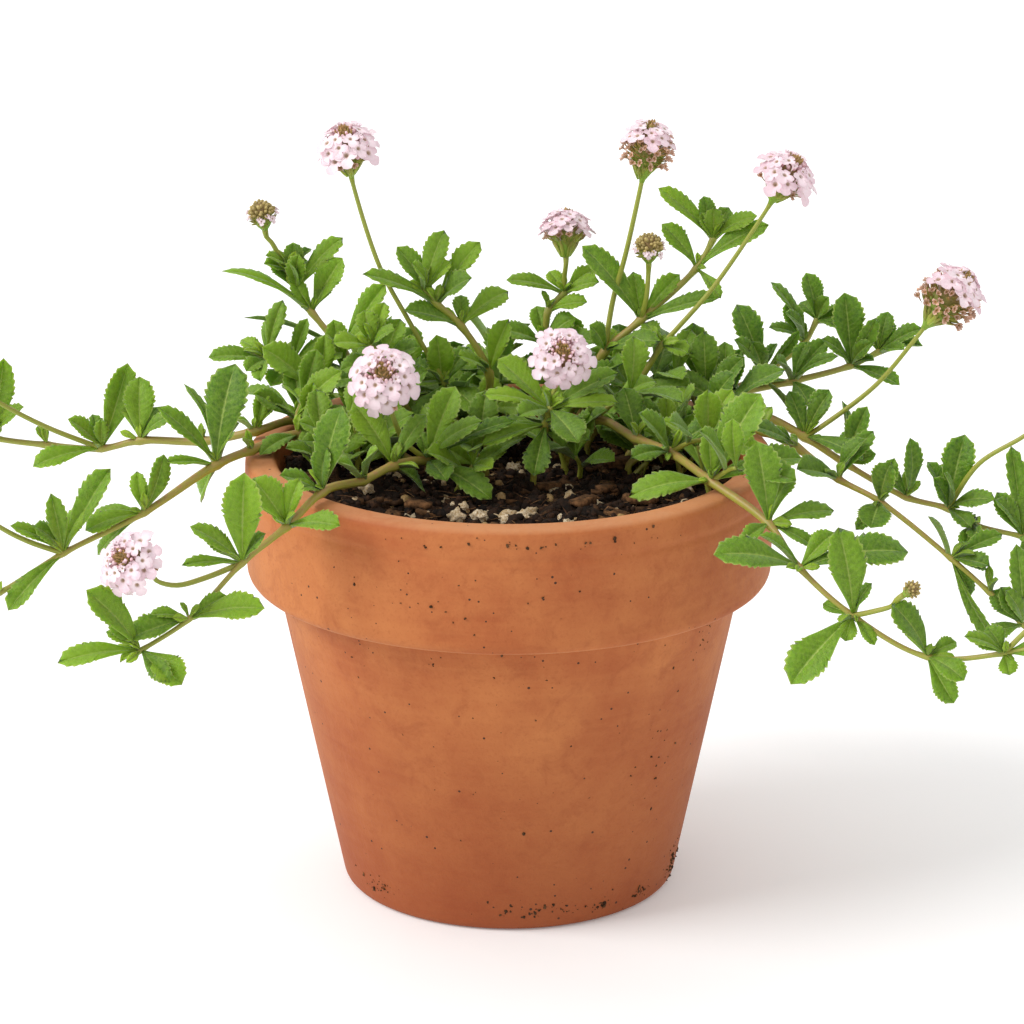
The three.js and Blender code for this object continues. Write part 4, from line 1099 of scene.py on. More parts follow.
@dataclass
class PottingSoil:
    """The potting mix: dark crumbs that fill the pot, with bark chips, perlite and fibres on top."""

    pot: TerracottaPot
    gap: float = 0.3               # between the soil and the pot
    rings: int = 56                # of its top, from the wall to the middle
    around: int = 120              # points in each ring
    edge: float = 0.08             # how far in from the wall its lumps start, as a share of its radius
    swell: float = 1.1             # height of its broad waves
    lumps: Row = (6, 2.4)          # width and height of its lumps
    bank: float = 6.5              # how high it is heaped against the wall at the left
    bank_foot: float = 20          # where the heap starts, left of the middle
    patterns: int = 4              # shapes of each kind of grain
    splashed_size: Row = (0.14, 0.34)   # least radius of a splashed crumb, and how much larger it may be
    litter: tuple[Litter, ...] = (
        Litter(Mix.CRUMB, 330000, 0.0005, 0.0016, 3),
        Litter(Mix.BARK, 30000, 0.0010, 0.0034, 5, 0.35),
        Litter(Mix.PERLITE, 17000, 0.0005, 0.0019, 8),
        Litter(Mix.FIBRE, 60000, 0.0020, 0.0055, 11, 0.35),
    )
    finishes: tuple[PottingFinish, ...] = (
        PottingFinish("moist_peat", "#130c07", "#4d321f", 1.3, 0.5),
        PottingFinish("composted_bark", "#33200f", "#8f6540", 1.4),
        PottingFinish("expanded_perlite", "#a17f4c", "#fff1d4", 0.5, 0.5),
        PottingFinish("dry_root_fibre", "#4a2f1c", "#a98054", 1.0),
    )
    stones: tuple[Row, ...] = (
        (-1, -22, 2.9), (5.3, -17.3, 1.7), (-12.8, -26, 2.2), (-7.2, -26, 2.0), (-14.9, -11, 1.8),
        (-35.3, -5.3, 2.1), (1.2, 16.9, 1.8), (-24, -27, 1.6), (14, -28, 1.5), (3.5, -24, 2.2),
    )                              # large lumps of perlite: x, y and radius
    slabs: tuple[Row, ...] = (
        (27.7, 15.3, 4.5, 20), (32, -9.4, 4.5, -15), (18, -14, 3.6, 50), (-22, -17, 3.4, -30), (9, 4, 4, 5),
        (24, 2, 3.8, 80), (-46, 5, 4.2, 65), (-43, -11, 3.6, 20), (-49, -4, 3.2, 110), (-38, -3, 3.0, -30),
    )                              # large chips of bark: x, y, half length and turn

    def level(self, x: float) -> float:
        """How high the surface lies, without its lumps: heaped towards the left."""
        share = max(0.0, (-x - self.bank_foot) / (self.pot.inner_radius(SOIL_TOP) - self.bank_foot))
        return SOIL_TOP + self.bank * share ** 2

    def relief(self, x: float, y: float) -> float:
        """How far the surface stands above its level at a place.

        Args:
            x: how far right the place is.
            y: how far back it is.

        Returns:
            The height.
        """
        broad = self.swell * (math.sin(x * 0.21 + 1.3) * math.cos(y * 0.17 - 0.4)
                              + 0.5 * math.sin(x * 0.53 - y * 0.47))
        width, height = self.lumps
        return broad + height * noise.fractal(Vector((x, y, 0)) / width, 1.0, 2.0, 4)

    def bed(self) -> Shape:
        """The closed bed: a foot on the pot's floor, a wall along the pot's and an uneven top."""
        foot = self.pot.floor + self.gap
        brim = self.pot.inner_radius(SOIL_TOP) - self.gap
        rings = [(0, foot), (self.pot.inner_radius(foot) - self.gap, foot),
                 *[(brim * share, SOIL_TOP) for share in np.linspace(1, 0, self.rings)]]
        points = []
        for radius, height in rings:
            for k in range(self.around):
                angle = 2 * math.pi * k / self.around
                x, y = radius * math.cos(angle), radius * math.sin(angle)
                inside = max(0.0, min(1.0, (1 - radius / brim) / self.edge))
                top = self.level(x) + inside * self.relief(x, y)
                points.append((x, y, top if height == SOIL_TOP else height))
        places = np.array(points) * MM
        return Shape(places, skin(len(rings), self.around), {"tint": np.full(len(points), 0.35)})

    def lump(self, seed: int, splits: int, rough: float, squash: Row) -> Shape:
        """A lump of unit radius.

        Args:
            seed: its place in the noise that roughens it.
            splits: how often its faces are split.
            rough: how far its skin goes in and out.
            squash: its size each way.

        Returns:
            The lump.
        """
        ball = bmesh.new()
        bmesh.ops.create_icosphere(ball, subdivisions=splits, radius=1)
        places = []
        for corner in ball.verts:
            dent = noise.fractal(corner.co * 1.7 + Vector((seed * 3.1, 0, 0)), 1.0, 2.2, 3)
            places.append([c * s * (1 + rough * dent) for c, s in zip(corner.co, squash)])
        faces = [tuple(corner.index for corner in face.verts) for face in ball.faces]
        ball.free()
        return Shape(np.array(places), faces)

    def chip(self, seed: int) -> Shape:
        """A splinter of bark: a thin slab of unit half length with broken ends.

        Args:
            seed: of its random draws.

        Returns:
            The chip.
        """
        draw = np.random.default_rng(seed)
        ring = []
        for x in (-1.0, -0.9, -0.3, 0.35, 0.92, 1.0):
            end = 0.25 if abs(x) == 1.0 else 1.0
            wide, thick = (0.42 + 0.16 * draw.random()) * end, (0.16 + 0.1 * draw.random()) * end
            lift = 0.1 * draw.random()
            section = [(-wide, -thick), (wide * 0.8, -thick), (wide, thick * 0.6), (-wide * 0.7, thick)]
            ring.append([(x, y, z + lift) for y, z in section])
        rings = np.array(ring)
        faces = skin(len(rings), 4) + [(3, 2, 1, 0), tuple(range(len(rings) * 4 - 4, len(rings) * 4))]
        return Shape(rings.reshape(-1, 3), faces)

    def fibre(self, seed: int) -> Shape:
        """A curved root fibre of unit half length.

        Args:
            seed: of its random draws.

        Returns:
            The fibre.
        """
        draw = np.random.default_rng(seed)
        bend = draw.uniform(-0.5, 0.5, 2)
        ring = []
        for x in np.linspace(-1, 1, 6):
            thick = 0.045 * (1.15 - abs(x))
            middle = (bend[0] * (1 - x * x), 0.25 * bend[1] * (1 - x * x) + 0.05)
            ring.append([(x, middle[0] + thick * math.cos(a), middle[1] + thick * math.sin(a))
                         for a in (0, 2.1, 4.2)])
        rings = np.array(ring)
        return Shape(rings.reshape(-1, 3), skin(6, 3) + [(2, 1, 0), (15, 16, 17)])

    def splashed(self) -> Shape:
        """All the crumbs on the outside of the pot."""
        draw = np.random.default_rng(61)
        least, growth = self.splashed_size
        points, faces, tints = [], [], []
        for splash in SPLASHES:
            for _ in range(splash.count):
                height = splash.height + splash.depth * max(-1.5, min(1.5, draw.normal(0, 0.6)))
                out = self.pot.outer_radius(height)
                angle = math.radians(splash.azimuth - 90) + draw.normal(0, 0.6) * splash.breadth / out
                size = least + growth * draw.random() ** 2
                middle = Vector((out * math.cos(angle), out * math.sin(angle), max(height, 1.5)))
                crumb = self.lump(int(draw.integers(500)), 1, 0.9, tuple(draw.uniform(0.6, 1.3, 3)))
                faces += [tuple(len(points) + corner for corner in face) for face in crumb.faces]
                points += [(middle + Vector(point) * size) * MM for point in crumb.points]
                tints += [draw.uniform(0.0, 0.6)] * len(crumb.points)
        return Shape(np.array(points), faces, {"tint": np.array(tints)}, finish=Mix.BARK)

    def laid(self) -> PatternShelf:
        """The large lumps and chips, where they lie, and the crumbs outside."""
        shelf = PatternShelf("laid")
        stones = [(self.lump(20 + i, 3, 0.8, (1.0, 0.85, 0.75)), Mix.PERLITE, x, y, size, 50.0 * i)
                  for i, (x, y, size) in enumerate(self.stones)]
        slabs = [(self.chip(40 + i), Mix.BARK, *slab) for i, slab in enumerate(self.slabs)]
        for i, (shape, finish, x, y, size, turn) in enumerate(stones + slabs):
            raised = self.level(x) + self.relief(x, y) + (0.35 * size if finish == Mix.PERLITE else 0.8)
            tilt = Matrix.Rotation(0.25 * (scatter(i) - 0.5), 4, "X")
            lay = Matrix.Translation((x, y, raised)) @ Matrix.Rotation(math.radians(turn), 4, "Z") @ tilt
            shape.points = np.array([lay @ Vector(point * size) for point in shape.points]) * MM
            shape.marks["tint"] = np.full(len(shape.points), 0.6 + 0.4 * scatter(i + 0.3))
            shape.finish = finish
            shelf.add("piece", shape)
        shelf.add("splash", self.splashed())
        return shelf

    def strewn(self, add: Adder, size: dict[str, Any], litter: Litter, upward: Node) -> Node:
        """One kind of litter on the bed.

        Args:
            add: adds a node.
            size: the tree's inputs.
            litter: the litter.
            upward: whether a face of the bed looks up.

        Returns:
            The grains.
        """
        spots = add("GeometryNodeDistributePointsOnFaces", {
            "Mesh": size["Geometry"], "Selection": upward, "Density": litter.count, "Seed": litter.seed})
        tilt = litter.tilt
        turn, grown, pick, tint = [
            add("FunctionNodeRandomValue", {f"Min{end}": least, f"Max{end}": most,
                                            "Seed": litter.seed + 100 * place}, data_type=kind)
            for place, (kind, end, least, most) in enumerate((
                ("FLOAT_VECTOR", "", (-tilt, -tilt, 0.0), (tilt, tilt, 6.283)),
                ("FLOAT", "_001", 0.0, 1.0), ("INT", "_002", 0, 9), ("FLOAT", "_001", 0.0, 1.0)), 1)]
        skewed = add("Math", (grown, 1.8), operation="POWER")
        scale = add("MapRange", (skewed, 0.0, 1.0, litter.least, litter.most))
        marked = add("GeometryNodeStoreNamedAttribute", {
            "Geometry": spots.outputs["Points"], "Name": "tint", "Value": tint})
        shapes = add("GeometryNodeCollectionInfo", {
            "Collection": size[litter.kind.name.lower()], "Separate Children": True, "Reset Children": True})
        return add("GeometryNodeInstanceOnPoints", {
            "Points": marked, "Instance": shapes, "Pick Instance": True, "Instance Index": pick,
            "Rotation": turn, "Scale": scale})

    def tree(self) -> NodeTree:
        """The tree that strews each kind of litter over the top of the bed."""
        kinds = {litter.kind.name.lower(): None for litter in self.litter}
        tree, add, size = new_shape_tree("Strewn potting mix", {"laid": None, **kinds})
        normal = add("SeparateXYZ", (add("GeometryNodeInputNormal"),)).outputs["Z"]
        upward = add("FunctionNodeCompare", {"A": normal, "B": 0.5}, data_type="FLOAT",
                     operation="GREATER_THAN")
        heap = add("GeometryNodeJoinGeometry", (size["Geometry"],))
        laid = add("GeometryNodeCollectionInfo", {"Collection": size["laid"]})
        for part in (laid, *[self.strewn(add, size, litter, upward) for litter in self.litter]):
            tree.links.new(part.outputs[0], heap.inputs[0])
        finish_shape_tree(add, heap, [finish.material() for finish in self.finishes])
        return tree

    def build(self) -> None:
        """Makes the soil."""
        makers = {Mix.CRUMB: partial(self.lump, splits=1, rough=0.35, squash=(1.0, 1.0, 0.8)),
                  Mix.BARK: self.chip,
                  Mix.PERLITE: partial(self.lump, splits=2, rough=0.45, squash=(1.0, 0.85, 0.8)),
                  Mix.FIBRE: self.fibre}
        shelves = {"laid": self.laid()}
        for kind, maker in makers.items():
            shelf = shelves[kind.name.lower()] = PatternShelf(kind.name.lower())
            for seed in range(self.patterns):
                shape = maker(seed)
                shape.finish = kind
                shelf.add("pattern", shape)
        collections = {name: shelf.collection for name, shelf in shelves.items()}
        bed = self.bed().mesh("soil_bed")
        seat(baked("potting_mix", bed, self.tree(), collections, ("tint",)), "soil")
        for shelf in shelves.values():
            shelf.clear()


# ---------------------------------------------------------------- what the plant grows from

class Finish(IntEnum):
    """The plant's materials, in the order that its tree counts them."""

    LEAF = 0
    STEM = 1
    PETAL = 2
    PINK_BUD = 3
    SCALE = 4
    CALYX = 5
    WITHERED = 6
    GOLD_BUD = 7
    CONE = 8


def plant_materials() -> list[Material]:
    """The plant's materials, in the order of Finish."""
    return [
        LivingLeaf().material(),
        SappyStem().material(),
        FreshPetal().material(),
        BudSkin("closed_pink_bud", "#c08c92", "#e4c2c8", (0.4, 0.95)).material(),
        BudSkin("brown_tipped_scale", "#94913f", "#a27c55", (0.3, 0.9)).material(),
        BudSkin("green_calyx", "#98b040", "#8a8040", (0.0, 1.0)).material(),
        BudSkin("withered_floret", "#94703f", "#cda795", (0.2, 0.8), 0.75).material(),
        BudSkin("gold_bud", "#756c33", "#a9965f", (0.2, 1.0)).material(),
        BudSkin("flower_cone", "#84a23c", "#7d6640", (0.3, 0.75)).material(),
    ]


PLAIN_POINT = {"girth": 0.0, "kind": -1, "turn": Quaternion(), "spread": (1, 1, 1), "tint": 0.0, "youth": 0.0,
               "fold": 0.0, "arch": 0.0}


@dataclass
class Growth:
    """What one piece of the plant grows from: ways that get a skin, and places that get a pattern."""

    points: list[Vector] = field(default_factory=list)
    edges: list[tuple[int, int]] = field(default_factory=list)
    marks: dict[str, list[Any]] = field(default_factory=lambda: {name: [] for name in PLAIN_POINT})

    def add(self, at: Vector, **marks: Any) -> None:
        """Adds a point.

        Args:
            at: its place.
            marks: its marks. For a pattern they are its turn, its spread, which is its size each way, its
                kind, which is its number on the shelf, and its tint, youth, fold and arch, if any.
        """
        self.points.append(at * MM)
        for name, usual in PLAIN_POINT.items():
            self.marks[name].append(marks.get(name, usual))

    def add_way(self, way: list[Vector], girths: list[float], youths: list[float]) -> None:
        """Adds a way for a stem or a stalk.

        Args:
            way: its points.
            girths: its radius at each.
            youths: its youth at each.
        """
        first = len(self.points)
        for at, girth, youth in zip(way, girths, youths):
            self.add(at, girth=girth * MM, youth=youth)
        self.edges += [(first + i, first + i + 1) for i in range(len(way) - 1)]

    def mesh(self, name: str) -> Mesh:
        """The points, edges and marks as a mesh for the tree."""
        mesh = bpy.data.meshes.new(name)
        mesh.from_pydata([tuple(point) for point in self.points], self.edges, [])
        for label, values in self.marks.items():
            mark(mesh, label, np.array(values))
        return mesh


# How a pattern bends: its halves fold up from the rib, its length arches, and waves run along its halves.
BENDING = (
    ("across", "MULTIPLY", "lay x", "spread x"),
    ("out", "ABSOLUTE", "across"),
    ("fold sine", "SINE", "fold"),
    ("fold rise", "MULTIPLY", "out", "fold sine"),
    ("rest", "SUBTRACT", 1.0, "lay y"),
    ("hump", "MULTIPLY", "lay y", "rest"),
    ("arch", "MULTIPLY", "arch", "spread y"),
    ("arch", "MULTIPLY", "arch", 4.0),
    ("arch rise", "MULTIPLY_ADD", "hump", "arch", "fold rise"),
    ("own phase", "MULTIPLY", "tint", 40.0),
    ("phase", "MULTIPLY_ADD", "lay y", "Waves", "own phase"),
    ("phase", "MULTIPLY_ADD", "across", 300.0, "phase"),
    ("wave", "SINE", "phase"),
    ("wave", "MULTIPLY", "wave", "out"),
    ("rise", "MULTIPLY_ADD", "wave", "Wave height", "arch rise"),
    ("fold cosine", "COSINE", "fold"),
    ("narrower", "SUBTRACT", "fold cosine", 1.0),
    ("drawn in", "MULTIPLY", "across", "narrower"),
)


def growth_tree(materials: list[Material]) -> NodeTree:
    """The tree that grows a piece of the plant.

    Ways get a grooved skin as thick as their girth. Places get a pattern, turned and spread as they say, and
    bent as BENDING says.

    Args:
        materials: the plant's materials, in the order of Finish.

    Returns:
        The tree.
    """
    tree, add, known = new_shape_tree("Grown plant", {
        "Patterns": None, "Ridges": 6, "Groove": 0.12, "Waves": 9.0, "Wave height": 0.10})
    kinds = {"kind": "INT", "turn": "QUATERNION", "spread": "FLOAT_VECTOR", "lay": "FLOAT_VECTOR"}
    for name in ("girth", "kind", "turn", "spread", "lay", "fold", "arch", "tint"):
        known[name] = add("GeometryNodeInputNamedAttribute", {"Name": name},
                          data_type=kinds.get(name, "FLOAT")).outputs[0]
    valley = add("Math", (1.0, known["Groove"]), operation="SUBTRACT")
    profile = add("GeometryNodeCurveStar", {
        "Points": known["Ridges"], "Inner Radius": valley, "Outer Radius": 1.0})
    ways = add("GeometryNodeMeshToCurve", (known["Geometry"],))
    bark = add("GeometryNodeCurveToMesh", {
        "Curve": ways, "Profile Curve": profile, "Scale": known["girth"], "Fill Caps": True})
    bark = add("GeometryNodeStoreNamedAttribute", {
        "Geometry": bark, "Name": "finish", "Value": int(Finish.STEM)}, data_type="INT", domain="FACE")

    is_place = add("FunctionNodeCompare", {"A_INT": known["kind"], "B_INT": 0}, data_type="INT",
                   operation="GREATER_EQUAL")
    patterns = add("GeometryNodeCollectionInfo", {
        "Collection": known["Patterns"], "Separate Children": True, "Reset Children": True})
    placed = add("GeometryNodeInstanceOnPoints", {
        "Points": known["Geometry"], "Selection": is_place, "Instance": patterns, "Pick Instance": True,
        "Instance Index": known["kind"], "Rotation": known["turn"], "Scale": known["spread"]})
    real = add("GeometryNodeRealizeInstances", (placed,))

    for name in ("lay", "spread"):
        parts = add("SeparateXYZ", (known[name],)).outputs
        known.update({f"{name} x": parts["X"], f"{name} y": parts["Y"]})
    bent = worked_out(add, known, BENDING)
    offset = add("CombineXYZ", {"X": bent["drawn in"], "Z": bent["rise"]})
    offset = add("FunctionNodeRotateVector", {"Vector": offset, "Rotation": known["turn"]})
    moved = add("GeometryNodeSetPosition", {"Geometry": real, "Offset": offset})
    whole = add("GeometryNodeJoinGeometry", (moved,))
    tree.links.new(bark.outputs[0], whole.inputs[0])
    finish_shape_tree(add, whole, materials)
    return tree


# ---------------------------------------------------------------- leaves

@dataclass(frozen=True)
class LeafPattern:
    """A flat leaf of unit width and length, with its real thickness, whose rows follow its side veins."""

    teeth: int                     # on each side of its outer half
    bite: float                    # depth of the notches between them, as a share of the half width
    seed: int
    widest: float = 0.62           # where it is widest, as a share of its length
    foot: float = 0.07             # half width of the leaf stalk, as a share of the half width
    slant: float = 0.16            # how far a side vein runs forward on its way to the rim
    columns: Row = (0, 0.09, 0.4, 0.76, 1)      # from the rib to the rim
    plain_shares: Row = (0.06, 0.13, 0.21, 0.31, 0.41, 0.49)   # rows below the teeth
    toothed: tuple[float, float] = (0.52, 0.95)                # where the teeth start and end
    thickness: float = 0.3         # this and what follows in millimetres
    rib: float = 0.7               # how far the rib stands out below, at the leaf's foot
    dome: float = 0.42             # how far each half bulges between rib and rim
    sink: float = 0.12             # how deep a vein lies

    def half_width(self, share: float) -> float:
        """The half width at a share of the length, without teeth, as a share of the greatest.

        Args:
            share: the share of the length.

        Returns:
            The half width.
        """
        if share < self.widest:
            rise = share / self.widest
            return self.foot + (1 - self.foot) * (rise ** 1.5 * (1 + 0.45 * (1 - rise)))
        return math.sqrt(max(0.0, 1 - ((share - self.widest) / (1 - self.widest)) ** 2.1))

    def rows(self) -> list[tuple[float, float, float]]:
        """The rows from foot to tip: share of the length at the rim, half width, and 1 where a vein runs."""
        draw = np.random.default_rng(self.seed)
        rows = [(share, self.half_width(share), float(share in self.plain_shares[-4::2]))
                for share in self.plain_shares]
        start, end = self.toothed
        pitch = (end - start) / self.teeth
        for i in range(self.teeth):
            peak = start + (i + 0.62 + 0.12 * draw.random()) * pitch
            bite = self.bite * (0.75 + 0.5 * draw.random())
            swell = peak - 0.36 * pitch
            notch = peak + 0.2 * pitch
            rows.append((swell, self.half_width(swell) - 0.25 * bite, 0.0))
            rows.append((peak, self.half_width(peak) + 0.02, 1.0))
            rows.append((notch, self.half_width(notch) - bite, 0.0))
        return rows

    def shape(self) -> Shape:
        """The leaf."""
        tip = (1.0, 0.0, 0.0)
        rows = [(0.0, 0.0, 0.0), *self.rows(), tip]
        reach = len(self.columns) - 1
        upper, lower = [], []
        for share, half, vein in rows:
            start = share - self.slant * half
            for column in range(-reach, reach + 1):
                out = self.columns[abs(column)]
                lay = (math.copysign(0.5 * half * out, column), start + (share - start) * out ** 1.15)
                ribbed = 1.0 if column == 0 else 0.0
                thin = 1 - out ** 3
                rise = self.dome * math.sin(math.pi * out) * half
                sink = self.sink * max(vein * math.sin(math.pi * min(1, out + 0.3)), ribbed)
                body = 0.0 if half == 0 else self.thickness * thin
                rib = self.rib * (1.1 - share) * (ribbed + 0.12 * (abs(column) == 1)) * (half > 0)
                veined = max(0.45 * vein * (1 - 0.5 * out), ribbed)
                upper.append((*lay, body / 2 + rise - sink, veined, out))
                lower.append((*lay, rise - sink - body / 2 - rib, veined, out))
        around = 2 * reach + 1
        table = np.array(upper + lower)
        low = len(upper)
        faces, under = [], []
        for i in range(len(rows) - 1):
            for k in range(around - 1):
                a, b = i * around + k, (i + 1) * around + k
                faces += [(a, a + 1, b + 1, b), (low + b, low + b + 1, low + a + 1, low + a)]
                under += [0.0, 1.0]
        places = table[:, :3] * (1, 1, MM)
        lay = np.column_stack([table[:, :2], np.zeros(len(table))])
        return Shape(places, faces, {"lay": lay, "veins": table[:, 3], "reach": table[:, 4]},
                     {"under": np.array(under)}, Finish.LEAF)


@dataclass(frozen=True)
class Leaf:
    """A leaf on its stem."""

    base: Vector
    way: Vector                    # from its base to its tip
    width: float
    roll: float                    # how far the blade is rolled about its rib, in degrees
    light: Vector                  # the way that its upper face turns
    fold: float                    # rise of the two halves from the rib, in radians
    arch: float                    # as a share of its length

    def axes(self, roll: float | None = None) -> tuple[Vector, Vector, Vector]:
        """Its axes: along the rib, across the blade, and out of its upper face."""
        along = self.way.normalized()
        face = (self.light - along * along.dot(self.light)).normalized()
        face = Quaternion(along, math.radians(self.roll if roll is None else roll)) @ face
        return along, face.cross(along), face

    def bent(self, turn: float, lift: float, size: float) -> "Leaf":
        """The leaf turned and lifted by so many degrees, at a share of its size."""
        _, across, face = self.axes(0)
        way = Quaternion(face, math.radians(turn)) @ (Quaternion(across, -math.radians(lift)) @ self.way)
        return replace(self, way=way * size, width=self.width * size)

    def corner(self, share: float, out: float) -> Vector:
        """The place on its rib plane at a share of its length and of its half width.

        Args:
            share: of its length, from the base.
            out: of its half width, less than 0 on one side.

        Returns:
            The place.
        """
        along, across, face = self.axes()
        aside, length = out * self.width / 2, self.way.length
        return (self.base + along * length * share + across * aside * math.cos(self.fold)
                + face * (abs(aside) * math.sin(self.fold) + 4 * self.arch * length * share * (1 - share)))

    def turn(self) -> Quaternion:
        """The turn of a pattern that lies along +Y and faces +Z."""
        along, across, face = self.axes()
        return Matrix((-across, along, face)).transposed().to_quaternion()


LARGE_LEAF = 9                 # widths from which a leaf has more teeth
MEDIUM_LEAF = 7
LEAF_LENGTH = 0.985            # a leaf's length as a share of its solid's
LEAF_FOLD = (9, 27)            # least and most rise of the two halves, degrees
LEAF_ARCH = (0.04, 0.11)       # least and most arch

# Ways in which a leaf may have bent clear of its neighbours: turn and lift in degrees, at each size.
BENDS = (
    (0, 0), (9, 0), (-9, 0), (0, 9), (0, -9), (12, 12), (-12, 12), (20, 0), (-20, 0), (0, 20), (0, -20),
    (22, 16), (-22, 16), (34, 0), (-34, 0), (0, 34), (36, 24), (-36, 24), (50, 12), (-50, 12),
)
SIZES = (1, 0.85, 0.7, 0.55)
LEAF_KINDS = (("large", LARGE_LEAF), ("medium", MEDIUM_LEAF), ("small", 0))   # kinds by least width
MEDIUM_LENGTH = 11             # length from which an extra leaf is of the medium kind

# Corners of a leaf's solid: share of the length and of the half width, by its least width.
LEAF_CORNERS = {
    LARGE_LEAF: ((0.42, 0.72), (0.58, 1), (0.62, 0.88), (0.76, 0.92), (0.8, 0.72), (0.91, 0.58)),
    MEDIUM_LEAF: ((0.54, 1), (0.62, 0.82), (0.81, 0.78)),
    0: ((0.56, 1), (0.76, 0.74)),
}
SAME = 0.02                    # how near a corner lies to its solid's own
ENOUGH = 3                     # how many of them show a leaf whose tip is inside another solid
BROADEST = 83                  # from the middle to the front or back, beyond which a leaf is grown smaller
BROADEST_SIZE = 0.94           # by this share, so that its teeth stay in the plant's box


class LeafFinder:
    """Finds how each leaf of a stem stands in the frame, by the corners of its solid."""

    def __init__(self, node: str) -> None:
        """Takes the corners of a node.

        Args:
            node: the CAD node's name.
        """
        corners = frame["nodes"][node].data.vertices
        self.tree = KDTree(len(corners))
        for i, corner in enumerate(corners):
            self.tree.insert(corner.co / MM, i)
        self.tree.balance()

    def holds(self, place: Vector) -> bool:
        """Whether the node has a corner there."""
        return self.tree.find(place)[2] < SAME

    def settled(self, leaf: Leaf) -> Leaf | None:
        """The leaf as it stands, or nothing where the frame has left it out.

        Args:
            leaf: the leaf as it would stand alone.

        Returns:
            The leaf, or None.
        """
        bent = [leaf.bent(turn, lift, size) for size in SIZES for turn, lift in BENDS]
        for one in bent:
            if self.holds(one.corner(1, 0)):
                return one
        for one in bent:
            least = max(width for width in LEAF_CORNERS if one.width >= width)
            corners = [
                one.corner(share, side * out) for share, out in LEAF_CORNERS[least] for side in (-1, 1)]
            if sum(self.holds(corner) for corner in corners) >= ENOUGH:
                return one
        return None


# A young leaf is so small that it has fewer columns and rows.
YOUNG_LEAF = {"columns": (0, 0.45, 1), "plain_shares": (0.1, 0.3, 0.46)}


@dataclass
class PlantShelf:
    """Every shape that the plant grows, by kind: the numbers of its variants on the shelf."""

    shelf: PatternShelf = field(default_factory=lambda: PatternShelf("plant"))
    kinds: dict[str, list[int]] = field(default_factory=dict)

    def stock(self) -> None:
        """Puts the shapes on the shelf."""
        leaves = {
            "large": [LeafPattern(7, 0.1, 1), LeafPattern(6, 0.1, 2), LeafPattern(6, 0.12, 3, 0.66)],
            "medium": [LeafPattern(6, 0.11, 4), LeafPattern(5, 0.12, 5), LeafPattern(5, 0.13, 6, 0.67)],
            "small": [LeafPattern(4, 0.13, 7), LeafPattern(5, 0.12, 8), LeafPattern(4, 0.14, 9, 0.66)],
            "young": [LeafPattern(2, 0.13, 10, **YOUNG_LEAF), LeafPattern(1, 0.1, 11, **YOUNG_LEAF)],
        }
        for kind, patterns in leaves.items():
            self.kinds[kind] = [self.shelf.add(kind, pattern.shape()) for pattern in patterns]
        for kind, shapes in head_shapes().items():
            self.kinds[kind] = [self.shelf.add(kind, shape) for shape in shapes]

    def pick(self, kind: str, index: int) -> int:
        """The number of one of a kind's variants."""
        variants = self.kinds[kind]
        return variants[index % len(variants)]


def smooth_way(points: list[Vector], pitch: float) -> list[Vector]:
    """A centripetal Catmull-Rom curve through some points.

    Args:
        points: the points.
        pitch: about how far apart the curve's own points are.

    Returns:
        The curve's points.
    """
    ends = [2 * points[0] - points[1], *points, 2 * points[-1] - points[-2]]
    curve = [points[0]]
    for p0, p1, p2, p3 in zip(ends, ends[1:], ends[2:], ends[3:]):
        t1, t2, t3 = [max((b - a).length, 1e-6) ** 0.5 for a, b in ((p0, p1), (p1, p2), (p2, p3))]
        start = t2 * ((p1 - p0) / t1 - (p2 - p0) / (t1 + t2) + (p2 - p1) / t2)
        end = t2 * ((p2 - p1) / t2 - (p3 - p1) / (t2 + t3) + (p3 - p2) / t3)
        steps = max(2, math.ceil((p2 - p1).length / pitch))
        for k in range(1, steps + 1):
            u = k / steps
            curve.append(p1 * (2 * u ** 3 - 3 * u ** 2 + 1) + start * (u ** 3 - 2 * u ** 2 + u)
                         + p2 * (3 * u ** 2 - 2 * u ** 3) + end * (u ** 3 - u ** 2))
    return curve


